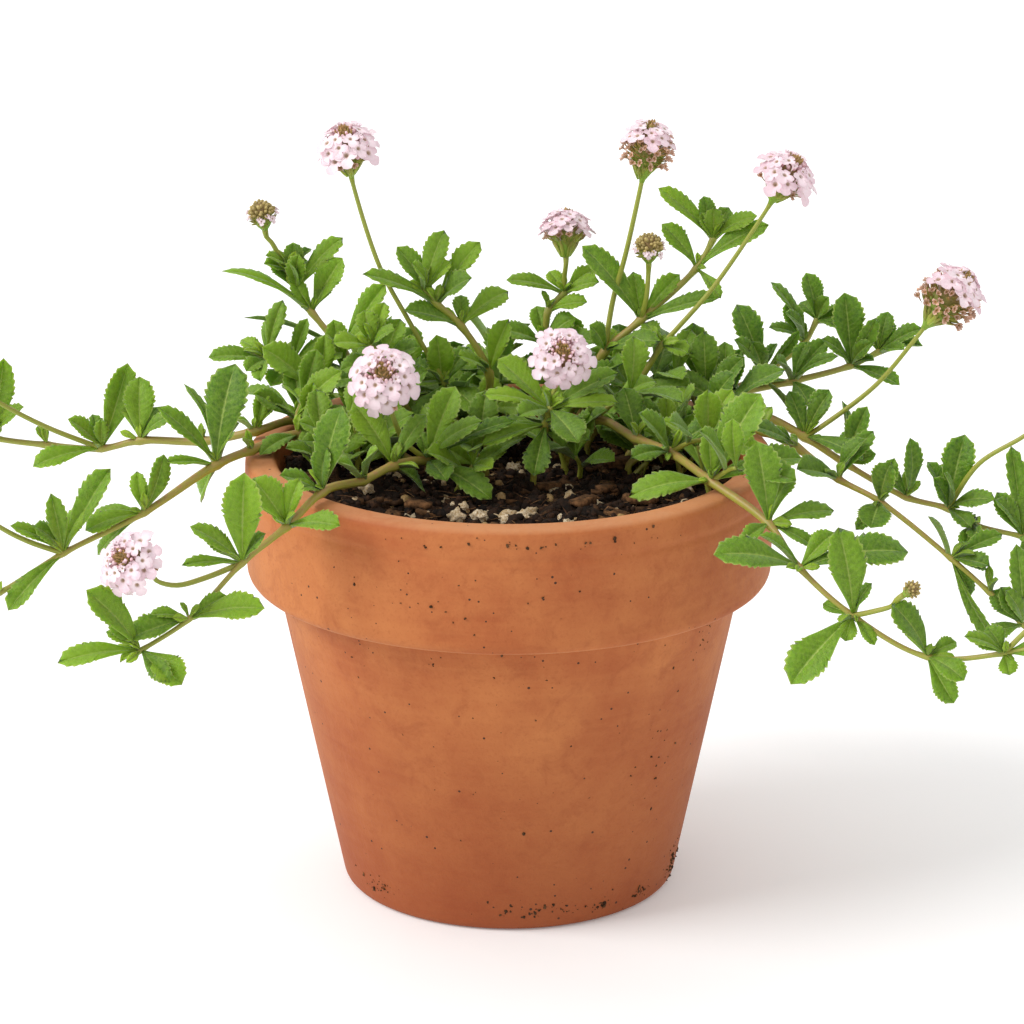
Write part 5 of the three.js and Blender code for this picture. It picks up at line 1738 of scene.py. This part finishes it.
@dataclass
class Spray:
    """A leafy stem with its stalks, its leaves and the young leaves in their axils."""

    stem: Stem
    first_leaf: int                # the number of its first leaf among all of the plant's
    shapes: PlantShelf
    pot: TerracottaPot             # which the young leaves keep clear of
    growth: Growth = field(default_factory=Growth)
    foot: Row = (-9, -1, 3)        # heights over the soil that the stem passes where it roots
    pitch: float = 1.6
    knot: float = 0.38             # how much thicker the stem is at a joint
    knot_reach: float = 1.5
    taper: float = 0.35            # how much thinner its end is
    slim: Row = (0.75, 9)          # its girth at the soil, as a share, and the height where it is full
    stalk_girths: Row = (0.72, 0.58)
    stalk_neck: Row = (1.15, 1.35, 1.4)    # how much thicker a stalk is just under its head
    stalk_end: float = 2
    young_sizes: Row = (3.2, 7.2)
    young_arch: float = 0.08
    inside: float = 60             # how far from the pot's middle a joint counts as inside
    crowd_top: float = 120         # side shoots start below this height
    extra: int = 2                 # how many more leaves a joint outside has, at most
    skirt: Row = (0.1, 0.5)        # where shoots hide a runner's foot, on the way to its first joint
    reach: Row = (144, 84)         # how far a young leaf's tip may be from the middle, sideways and in depth
    clearance: float = 1.5         # how far it keeps off the pot
    over_soil: float = 2.5         # and off the soil
    extra_lengths: Row = (8, 13.5)         # least and most length of the extra leaves
    shoot_leaves: Row = (16.5, 15)         # usual lengths of a shoot's two pairs of leaves
    side_lengths: Row = (7, 13)            # least and most length of a side shoot
    low_lengths: Row = (11, 21)            # of a shoot from the soil
    skirt_lengths: Row = (8, 13)           # of a shoot that hides a runner's foot

    @property
    def joints(self) -> list[Vector]:
        """Where its joints are."""
        return [Vector(joint.at) for joint in self.stem.joints]

    def is_inside(self, place: Vector) -> bool:
        """Whether a place is over the soil."""
        return math.hypot(place.x, place.y) < self.inside

    def is_clear(self, place: Vector) -> bool:
        """Whether a place is outside the pot's wall, above the soil and well within the plant's box.

        Args:
            place: the place.

        Returns:
            Whether it is.
        """
        if abs(place.x) > self.reach[0] or abs(place.y) > self.reach[1]:
            return False
        out = math.hypot(place.x, place.y)
        if out > self.pot.rim_radius + self.clearance:
            return True
        inside = out < self.pot.inner_radius(self.pot.height) - self.clearance
        return place.z > (SOIL_TOP + self.over_soil if inside else self.pot.height + self.clearance)

    def grow_stem(self) -> None:
        """The stem, thicker at its joints."""
        joints = self.joints
        points = [*[Vector((*self.stem.root, SOIL_TOP + height)) for height in self.foot], *joints]
        points.append(points[-1] + (points[-1] - points[-2]).normalized() * 1.5 * self.stem.girth)
        way = smooth_way(points, self.pitch)
        least, full = self.slim
        girths, youths = [], []
        for i, at in enumerate(way):
            share = i / (len(way) - 1)
            near = min((at - joint).length for joint in joints)
            swell = self.knot * math.exp(-(near / self.knot_reach) ** 2)
            slim = least + (1 - least) * min(1.0, max(0.0, (at.z - SOIL_TOP) / full))
            girths.append(self.stem.girth * (1 - self.taper * share ** 2) * (1 + swell) * slim)
            youths.append(share ** 4)
        girths[-1] *= 0.5
        self.growth.add_way(way, girths, youths)

    def grow_stalk(self, at: Vector, stalk: Stalk) -> None:
        """A flower stalk, a little thicker just under its head.

        Args:
            at: where it leaves the stem.
            stalk: the stalk.
        """
        foot = Vector(stalk.route[-1])
        axis = Vector(stalk.axis).normalized()
        way = smooth_way([at, *map(Vector, stalk.route[:-1]), foot - axis * self.stalk_end,
                          foot + axis * 0.5], self.pitch)
        start, end = self.stalk_girths
        girths = [start + (end - start) * min(1, 1.15 * i / len(way)) for i in range(len(way))]
        girths[-len(self.stalk_neck):] = [end * swell for swell in self.stalk_neck]
        self.growth.add_way(way, girths, [0.75 + 0.25 * i / len(way) for i in range(len(way))])

    def add_leaf(self, leaf: Leaf, kind: str, index: int, youth: float) -> None:
        """A leaf as the shelf has it.

        Args:
            leaf: how it stands.
            kind: its kind on the shelf.
            index: what chooses its variant and its tint.
            youth: how young it is.
        """
        # painted shade: the stem's depth lowers each leaf's tint and youth, so leaves on the right come out
        # darker and less yellow
        self.growth.add(
            leaf.base, turn=leaf.turn(), spread=(leaf.width * MM, LEAF_LENGTH * leaf.way.length * MM, 1),
            kind=self.shapes.pick(kind, index), tint=scatter(index + 0.5) * (1 - self.stem.depth),
            youth=youth * (1 - 0.5 * self.stem.depth), fold=leaf.fold, arch=leaf.arch)

    def grow_leaves(self) -> None:
        """The leaves that the stem's solid has, as they stand there."""
        finder = LeafFinder(self.stem.name)
        index = self.first_leaf
        for place, joint in enumerate(self.stem.joints):
            for dx, dy, dz, width, *roll in joint.leaves:
                draw = scatter(index)
                fold = math.radians(LEAF_FOLD[0] + (LEAF_FOLD[1] - LEAF_FOLD[0]) * draw)
                arch = LEAF_ARCH[0] + (LEAF_ARCH[1] - LEAF_ARCH[0]) * (1 - draw)
                leaf = finder.settled(Leaf(
                    Vector(joint.at), Vector((dx, dy, dz)), width, roll[0] if roll else 0.0,
                    self.stem.light, fold, arch))
                if leaf:
                    if abs(leaf.base.y + leaf.way.y) > BROADEST:
                        leaf = leaf.bent(0, 0, BROADEST_SIZE)
                    kind = next(kind for kind, least in LEAF_KINDS if leaf.width >= least)
                    age = place / max(1, len(self.stem.joints) - 1)
                    self.add_leaf(leaf, kind, index, 0.28 * age * (1 if kind == "small" else 0.5))
                else:
                    LOG.info("%s: leaf %d has no room", self.stem.name, index)
                index += 1

    def grow_young_leaves(self) -> None:
        """Young leaves in the axils, and more of them round the stem's end."""
        draw = np.random.default_rng(100 + self.first_leaf)
        joints = self.joints
        least, most = self.young_sizes
        for place, (at, joint) in enumerate(zip(joints, self.stem.joints)):
            before = joints[place - 1] if place else Vector((*self.stem.root, SOIL_TOP))
            onward = (at - before).normalized()
            is_end = place == len(joints) - 1
            if not self.is_inside(at):
                self.grow_extra_leaves(at, joint, draw)
            ways = [Vector(leaf[:3]).normalized() for leaf in joint.leaves] or [UP.copy()]
            for k in range(5 if is_end else 3):
                stray = Vector(draw.normal(0, 0.35, 3))
                toward = ways[k % len(ways)] * 0.75 + onward * (0.7 if is_end else 0.35) + UP * 0.45 + stray
                length = least + (most - least) * draw.random() ** 1.3
                fold = math.radians(18 + 22 * draw.random())
                leaf = Leaf(at, toward.normalized() * length, length * draw.uniform(0.36, 0.5),
                            draw.uniform(-35, 35), self.stem.light, fold, self.young_arch)
                if self.is_clear(at + leaf.way):
                    self.add_leaf(leaf, "young", self.first_leaf + place * 7 + k, draw.uniform(0.35, 1.0))

    def grow_extra_leaves(self, at: Vector, joint: Joint, draw: np.random.Generator) -> None:
        """More leaves at a joint outside the pot, beside those that the solid has.

        Args:
            at: the joint's place.
            joint: the joint.
            draw: the stem's random draws.
        """
        for dx, dy, dz, *_ in joint.leaves[:self.extra]:
            way = Vector((dx, dy, dz)).normalized() + Vector(draw.normal(0, 0.45, 3)) + UP * 0.15
            length = draw.uniform(*self.extra_lengths)
            way = way.normalized() * length
            if self.is_clear(at + way):
                leaf = Leaf(at, way, length * draw.uniform(0.42, 0.55), draw.uniform(-30, 30),
                            self.stem.light, math.radians(draw.uniform(12, 30)), self.young_arch)
                kind = "medium" if length > MEDIUM_LENGTH else "small"
                self.add_leaf(leaf, kind, int(draw.integers(99)), 0.1)

    def grow_shoot(self, start: Vector, end: Vector, draw: np.random.Generator) -> None:
        """A short leafy shoot with two pairs of leaves, crossed.

        Args:
            start: its foot.
            end: its tip.
            draw: its random draws.
        """
        heading = (end - start).normalized()
        aside = heading.cross(UP).normalized()
        middle = start.lerp(end, 0.5) + aside * draw.normal(0, 1.2) + UP * 0.8
        way = smooth_way([start, middle, end], self.pitch)
        shares = [i / len(way) for i in range(len(way))]
        girths = [0.75 - 0.3 * share for share in shares]
        self.growth.add_way(way, girths, [0.5 + 0.5 * share for share in shares])
        for level, (at, usual) in enumerate(zip((middle, end), self.shoot_leaves)):
            spin = Quaternion(heading, level * math.pi / 2 + draw.normal(0, 0.3))
            for side in (-1, 1):
                toward = spin @ (aside * side) + heading * (0.4 + 0.35 * level) + UP * 0.35
                length = usual * draw.uniform(0.75, 1.15)
                leaf = Leaf(at, toward.normalized() * length, length * draw.uniform(0.42, 0.54),
                            draw.uniform(-25, 25), self.stem.light, math.radians(draw.uniform(10, 26)),
                            draw.uniform(0.04, 0.1))
                if self.is_clear(at + leaf.way):
                    self.add_leaf(leaf, "medium", int(draw.integers(99)), 0.1 + 0.25 * level * draw.random())

    def grow_side_shoots(self) -> None:
        """Short shoots from the joints in the pot's back half and at its sides, which close the middle."""
        draw = np.random.default_rng(300 + self.first_leaf)
        for at in self.joints:
            is_beside = at.y > 2 or abs(at.x) > 38
            if self.is_inside(at) and at.z < self.crowd_top and is_beside:
                turn = draw.uniform(0, 2 * math.pi)
                out = Vector((math.cos(turn), math.sin(turn), draw.uniform(0.2, 0.9)))
                end = at + out.normalized() * draw.uniform(*self.side_lengths)
                if self.is_clear(end - UP * 2):
                    self.grow_shoot(at, end, draw)

    def grow_low_shoots(self) -> None:
        """Shoots from the soil behind the middle, where the stem has them."""
        draw = np.random.default_rng(700 + self.first_leaf)
        for i in range(self.stem.low_shoots):
            turn = math.radians(-12 + 204 * (i + 0.5) / self.stem.low_shoots + draw.normal(0, 4))
            out = 30 + 22 * scatter(i * 3.7)
            start = Vector((out * math.cos(turn), out * math.sin(turn), SOIL_TOP - 2))
            lean = Vector((draw.normal(0, 0.45), draw.normal(-0.2, 0.4), 1)).normalized()
            self.grow_shoot(start, start + lean * draw.uniform(*self.low_lengths), draw)

    def grow_skirt(self) -> None:
        """Shoots that hide a runner's way out of the soil."""
        draw = np.random.default_rng(900 + self.first_leaf)
        root = Vector((*self.stem.root, SOIL_TOP - 1))
        first = Vector((*self.joints[0].xy, SOIL_TOP - 1))
        for share in self.skirt if self.stem.is_runner else ():
            start = root.lerp(first, share)
            lean = Vector((draw.normal(0, 0.4), draw.normal(-0.35, 0.3), 1)).normalized()
            self.grow_shoot(start, start + lean * draw.uniform(*self.skirt_lengths), draw)

    def build(self, tree: NodeTree) -> None:
        """Makes the piece.

        Args:
            tree: the growth tree.
        """
        self.grow_stem()
        self.grow_skirt()
        self.grow_side_shoots()
        self.grow_low_shoots()
        for joint in self.stem.joints:
            if joint.stalk:
                self.grow_stalk(Vector(joint.at), joint.stalk)
        self.grow_leaves()
        self.grow_young_leaves()
        finish_growth(self.growth, f"{self.stem.name}_spray", tree, self.shapes, self.stem.name)


def finish_growth(growth: Growth, name: str, tree: NodeTree, shapes: PlantShelf, node: str,
                  creased: bool = False) -> None:
    """Grows a piece and puts it in its node's place.

    Args:
        growth: what it grows from.
        name: the piece's name.
        tree: the growth tree.
        shapes: the shelf.
        node: the CAD node that it replaces.
        creased: whether its patterns' sharp edges stay sharp.
    """
    kept = (*GROWTH_MARKS, "sharp_edge") if creased else GROWTH_MARKS
    piece = baked(name, growth.mesh(name), tree, {"Patterns": shapes.shelf.collection}, kept)
    seat(piece, node)


# ---------------------------------------------------------------- flower heads

def drop(profile: list[Row], around: int, flat: float = 1.0, crumple: float = 0.0, seed: int = 0,
         finish: Finish = Finish.CALYX) -> Shape:
    """A drop along Z, whose tip is at nothing and whose foot is at minus one.

    Args:
        profile: radius and height of each ring, from the foot to the tip.
        around: points in each ring.
        flat: its depth as a share of its width.
        crumple: how far its skin goes in and out, as a share of its radius.
        seed: of the crumpling.
        finish: its material.

    Returns:
        The drop.
    """
    points, rise = [], []
    for radius, height in profile:
        for k in range(around):
            angle = 2 * math.pi * k / around
            corner = Vector((math.cos(angle), math.sin(angle), 2.5 * height))
            rough = 1 + crumple * 2 * noise.noise(corner * 1.3 + Vector((seed * 2.7, 0, 0)))
            points.append((radius * rough * corner.x, radius * rough * corner.y * flat, height))
            rise.append(1 + height)
    rings = len(profile)
    return Shape(np.array(points), skin(rings, around), {"rise": np.array(rise)}, finish=finish)


# A lobe's edge: degrees from its middle, way out and how far it stands up.
LOBE = (
    (-45, 0.58, -0.3), (-35, 0.85, 0.8), (-17, 1.02, 0.7), (0, 1.08, 0.1), (17, 1.02, 0.5), (35, 0.85, 0.8))
# The rings of a floret's tube: radius, height and rise.
THROAT, COLLAR, WAIST = (0.21, -0.1, 0.22), (0.24, -0.32, 0.6), (0.13, -0.9, 0.3)
PIT = -0.45                    # how deep the throat's pit is


@dataclass(frozen=True)
class Floret:
    """A floret of unit radius: four rounded lobes round a throat, on a tube that goes back into the head."""

    lobes: Row                     # the length of each lobe, the lowest first
    cup: float                     # how far the lobes' shoulders stand up
    seed: int
    finish: Finish = Finish.PETAL
    tube: float = 2.4              # the tube's length
    crease: float = 70             # sharper edges than this stay sharp, degrees

    def shape(self) -> Shape:
        """The floret. Its limb lies across +Z, and its lowest lobe points to -Y."""
        draw = np.random.default_rng(self.seed)
        rim = []
        for i, lobe in enumerate(self.lobes):
            for turn, share, up in LOBE:
                angle = math.radians(90 * i - 90 + turn + draw.uniform(-3, 3))
                out = share * lobe * draw.uniform(0.95, 1.04)
                rim.append((out * math.cos(angle), out * math.sin(angle), self.cup * up - 0.1 * share * lobe))
        turns = [math.radians(45 * k - 135) for k in range(8)]
        throat, collar, waist = [
            [(radius * math.cos(turn), radius * math.sin(turn), height) for turn in turns]
            for radius, height, _ in (THROAT, COLLAR, WAIST)]
        points = [*rim, *throat, (0, 0, PIT), *collar, *waist, (0, 0, -self.tube)]
        rise = [1.0] * len(rim) + [THROAT[2]] * 8 + [0.0] + [COLLAR[2]] * 8 + [WAIST[2]] * 8 + [0.0]
        in_throat = len(rim)
        pit = in_throat + 8
        at_collar, at_waist, tail = pit + 1, pit + 9, pit + 17
        faces = []
        for k in range(8):
            after = (k + 1) % 8
            first, second, third, fourth = [(3 * k + step) % len(rim) for step in range(4)]
            a, b = in_throat + k, in_throat + after
            c, d = at_collar + k, at_collar + after
            faces += [(a, first, second), (a, second, b), (b, second, third), (b, third, fourth), (pit, a, b),
                      (c, second, first), (c, d, second), (d, third, second), (d, fourth, third),
                      (d, c, at_waist + k, at_waist + after), (at_waist + after, at_waist + k, tail)]
        return Shape(np.array(points), faces, {"rise": np.array(rise)}, finish=self.finish,
                     crease=math.radians(self.crease))


def head_shapes() -> dict[str, list[Shape]]:
    """Everything that a flower head is made of, by kind."""
    bud = [(0, -1), (0.3, -0.96), (0.42, -0.6), (0.5, -0.24), (0.36, -0.05), (0, 0)]
    scale = [(0, -1), (0.34, -0.95), (0.5, -0.6), (0.42, -0.28), (0.12, -0.04), (0, 0)]
    core = [
        (0, -0.46), (0.045, -0.44), (0.055, -0.4), (0.1, -0.34), (0.16, -0.26), (0.21, -0.17), (0.23, -0.09),
        (0.23, 0), (0.22, 0.09), (0.2, 0.18), (0.16, 0.26), (0.11, 0.32), (0.05, 0.355), (0, 0.36)]
    low, high = core[0][1], core[-1][1]
    heart = drop([(r, (z - high) / (high - low)) for r, z in core], 14, finish=Finish.CONE)
    heart.points[:, 2] = heart.points[:, 2] * (high - low) + high
    return {
        "floret": [Floret((1.22, 0.95, 0.8, 0.92), 0.1, 1).shape(),
                   Floret((1.14, 0.88, 0.84, 0.98), 0.18, 2).shape(),
                   Floret((1.25, 0.98, 0.74, 0.9), 0.04, 3).shape()],
        "half_open": [Floret((0.9, 0.7, 0.66, 0.72), 0.5, 4).shape()],
        "bud": [drop(bud, 6, finish=Finish.PINK_BUD), drop(bud, 6, 0.85, 0.1, 2, Finish.PINK_BUD)],
        "gold": [drop(bud, 6, finish=Finish.GOLD_BUD), drop(bud, 6, 0.85, 0.1, 2, Finish.GOLD_BUD)],
        "bract": [drop(scale, 6, 0.5, finish=Finish.SCALE), drop(scale, 6, 0.45, 0.12, 3, Finish.SCALE)],
        "calyx": [drop(scale, 6, 0.6, finish=Finish.CALYX), drop(scale, 6, 0.55, 0.12, 4, Finish.CALYX)],
        "withered": [Floret((1.0, 0.6, 0.8, 0.5), 0.7, 5, Finish.WITHERED).shape(),
                     Floret((0.7, 0.9, 0.5, 0.8), 0.8, 6, Finish.WITHERED).shape()],
        "core": [heart],
    }


@dataclass(frozen=True)
class Cover:
    """A part of a head that is covered with one kind of shape. Its sizes are shares of the head's."""

    kind: str                      # on the shelf
    start: float                   # least lean off the head's axis, degrees
    end: float                     # greatest lean
    count: int
    reach: float                   # how far their ends stand from the head's middle
    breadth: float                 # their width, or a floret's radius
    length: float = 0.3
    upright: float = 0.9           # their own lean, as a share of their place's


# The lowest calyces, which close a head towards its stalk.
FUNNEL = Cover("calyx", 106, 124, 22, 0.285, 0.075, 0.34, 0.3)

COVERS = {
    HeadForm.OPEN: (
        Cover("bract", 0, 19, 26, 0.42, 0.06, 0.14),
        Cover("bud", 15, 34, 28, 0.395, 0.062, 0.14),
        Cover("half_open", 29, 40, 6, 0.41, 0.085, 0.1),
        Cover("floret", 33, 84, 22, 0.43, 0.165),
        Cover("bud", 42, 90, 20, 0.35, 0.07, 0.14),
        Cover("withered", 86, 100, 10, 0.4, 0.075),
        Cover("calyx", 84, 104, 26, 0.37, 0.085, 0.34, 0.66),
        FUNNEL,
    ),
    HeadForm.FADED: (
        Cover("bract", 0, 17, 16, 0.43, 0.06, 0.14),
        Cover("floret", 14, 60, 20, 0.42, 0.145),
        Cover("bud", 24, 58, 14, 0.36, 0.07, 0.14),
        Cover("withered", 58, 104, 54, 0.42, 0.07),
        Cover("bract", 54, 96, 60, 0.39, 0.065, 0.24, 0.72),
        Cover("calyx", 90, 112, 34, 0.37, 0.075, 0.3, 0.6),
        replace(FUNNEL, reach=0.3),
    ),
    HeadForm.YOUNG: (
        Cover("gold", 0, 78, 54, 0.4, 0.1, 0.26),
        Cover("half_open", 72, 86, 9, 0.41, 0.1),
        Cover("floret", 82, 96, 6, 0.4, 0.11),
        Cover("calyx", 76, 122, 32, 0.4, 0.1, 0.34, 0.75),
    ),
    HeadForm.BUD: (
        Cover("gold", 0, 96, 32, 0.43, 0.13, 0.34),
        Cover("calyx", 70, 150, 26, 0.36, 0.12, 0.24),
    ),
}
CORES = {HeadForm.OPEN: 0.24, HeadForm.FADED: 0.25, HeadForm.YOUNG: 0.28, HeadForm.BUD: 0.3}
CORE_PATTERN = 0.25            # the core's breadth for which its pattern was drawn, as those are
HEAD_FOOT = 0.44               # from a head's middle to its foot, as a share of its size
HEAD_GAP = 0.3                 # how much higher it stands on its stalk, in millimetres


@dataclass
class FlowerHead:
    """A flower head: an egg-shaped core, covered from its axis downwards with scales, buds and florets."""

    name: str                      # the CAD node that it replaces
    stalk: Stalk
    shapes: PlantShelf
    seed: int
    upright: float = 0.64          # a floret's own lean, as a share of its place's
    growth_outward: float = 0.3    # how much broader the lowest florets are
    part_turn: float = 1.9         # how far each cover's spiral is turned on from the last one's, in radians
    floret_stray: float = 9        # how far a floret leans off its way, degrees
    stray: float = 4               # how far anything else does

    @property
    def tall(self) -> float:
        """Its height against its breadth. A fading head has grown long."""
        return 1.3 if self.stalk.look is HeadForm.FADED else 1.1

    def build(self, tree: NodeTree) -> None:
        """Makes the piece.

        Args:
            tree: the growth tree.
        """
        growth = Growth()
        axis = Vector(self.stalk.axis).normalized()
        foot = HEAD_FOOT * self.stalk.size * (2 - self.tall)
        middle = Vector(self.stalk.route[-1]) + axis * (foot + HEAD_GAP)
        size = self.stalk.size * self.stalk.fullness
        turn = UP.rotation_difference(axis)
        draw = np.random.default_rng(self.seed)
        broad = CORES[self.stalk.look] / CORE_PATTERN * size * MM
        growth.add(middle, turn=turn, spread=(broad, broad, size * self.tall * MM),
                   kind=self.shapes.pick("core", 0), tint=0.5)
        for part, cover in enumerate(COVERS[self.stalk.look]):
            self.add_cover(growth, cover, middle, turn, draw, part)
        finish_growth(growth, f"{self.name}_blossom", tree, self.shapes, self.name, creased=True)

    def add_cover(self, growth: Growth, cover: Cover, middle: Vector, turn: Quaternion,
                  draw: np.random.Generator, part: int) -> None:
        """Covers a part of the head along a golden spiral.

        Args:
            growth: what the head grows from.
            cover: the part.
            middle: the head's middle.
            turn: the head's turn.
            draw: its random draws.
            part: the part's number.
        """
        size = self.stalk.size * self.stalk.fullness
        top, bottom = math.cos(math.radians(cover.start)), math.cos(math.radians(cover.end))
        is_floret = cover.kind in ("floret", "half_open", "withered")
        for i in range(cover.count):
            share = (i + 0.5) / cover.count
            lean = math.acos(top + (bottom - top) * share) + math.radians(draw.normal(0, 3))
            spin = Quaternion(UP, i * GOLDEN_ANGLE + part * self.part_turn + draw.normal(0, 0.08))
            reach = cover.reach * size * draw.uniform(0.93, 1.04)
            at = spin @ (Quaternion((1, 0, 0), lean) @ UP)
            at.z *= self.tall
            own = lean * (self.upright if is_floret else cover.upright)
            own += math.radians(draw.normal(0, self.floret_stray if is_floret else self.stray))
            facing = spin @ Quaternion((1, 0, 0), own)
            grown = draw.uniform(0.88, 1.1)
            if is_floret:
                grown *= 1 + self.growth_outward * (share - 0.5)
            breadth = cover.breadth * size * MM * grown
            deep = breadth if is_floret else cover.length * size * MM * grown
            growth.add(middle + turn @ (at * reach), turn=turn @ facing, spread=(breadth, breadth, deep),
                       kind=self.shapes.pick(cover.kind, int(draw.integers(9))), tint=draw.random())


# ---------------------------------------------------------------- the studio

@dataclass
class Studio:
    """A white paper sweep under a broad soft light from the upper left, seen from a little above."""

    eye: Row = (0.0, -1.0, 0.417)  # where the camera is
    dip: float = 17.88             # how far down it looks, degrees
    lens: float = 149.6            # in millimetres, as the sensor's width
    sensor: float = 36.0
    shift: float = 2.9 / 1024      # how far the lens is shifted to the right, as a share of the view
    floor: float = 8.0             # from the floor's middle to its sides
    sky: float = 0.78              # strength of the white light from all round
    key: float = 2.1               # strength of the light from the upper left
    key_side: Row = (-0.95, -0.3, 0.85)    # where it comes from
    key_breadth: float = 32.0      # how broad it looks from the pot, degrees
    paper: MattPaper = field(default_factory=MattPaper)

    def add_camera(self) -> None:
        """The camera."""
        data = bpy.data.cameras.new("camera")
        data.lens = self.lens
        data.sensor_width = self.sensor
        data.shift_x = self.shift
        data.dof.use_dof = False
        camera = bpy.data.objects.new("camera", data)
        camera.location = self.eye
        camera.rotation_euler = (math.radians(90 - self.dip), 0, 0)
        bpy.context.scene.collection.objects.link(camera)
        bpy.context.scene.camera = camera

    def add_key(self) -> None:
        """The key light: a far, broad softbox, which lights the whole sweep alike."""
        data = bpy.data.lights.new("key_light", "SUN")
        data.energy = self.key
        data.angle = math.radians(self.key_breadth)
        light = bpy.data.objects.new("key_light", data)
        light.rotation_euler = (-Vector(self.key_side)).to_track_quat("-Z", "Y").to_euler()
        bpy.context.scene.collection.objects.link(light)

    def add_floor(self) -> None:
        """The floor."""
        reach = self.floor
        mesh = bpy.data.meshes.new("floor")
        corners = [(-reach, -reach, 0), (reach, -reach, 0), (reach, reach, 0), (-reach, reach, 0)]
        mesh.from_pydata(corners, [], [(0, 1, 2, 3)])
        mesh.materials.append(self.paper.material())
        floor = bpy.data.objects.new("floor", mesh)
        bpy.context.scene.collection.objects.link(floor)

    def build(self) -> None:
        """Sets up the camera, the lights, the floor and the sky."""
        self.add_camera()
        self.add_key()
        self.add_floor()
        world = bpy.data.worlds.new("studio")
        world.use_nodes = True
        world.node_tree.nodes.clear()
        sky = add_node(world.node_tree, "Background", {"Color": "#ffffff", "Strength": self.sky})
        add_node(world.node_tree, "OutputWorld", {"Surface": sky})
        bpy.context.scene.world = world
        bpy.context.scene.view_settings.view_transform = "Standard"


# ---------------------------------------------------------------- the whole scene


def build_plant(pot: TerracottaPot) -> None:
    """Makes every stem and every flower head.

    Args:
        pot: the pot that they grow in.
    """
    shapes = PlantShelf()
    shapes.stock()
    tree = growth_tree(plant_materials())
    first_leaf = 0
    for stem in STEMS:
        Spray(stem, first_leaf, shapes, pot).build(tree)
        first_leaf += sum(len(joint.leaves) for joint in stem.joints)
    stalks = [joint.stalk for stem in STEMS for joint in stem.joints if joint.stalk]
    for number, stalk in enumerate(stalks, 1):
        FlowerHead(f"head_{number}_{stalk.form.value}", stalk, shapes, 500 + number).build(tree)
    shapes.shelf.clear()


def main() -> None:
    """Builds the scene."""
    logging.basicConfig(level=logging.INFO, format="%(name)s: %(message)s")
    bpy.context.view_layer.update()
    pot = TerracottaPot()
    pot.build()
    PottingSoil(pot).build()
    build_plant(pot)
    Studio().build()


if __name__ == "__main__":
    main()
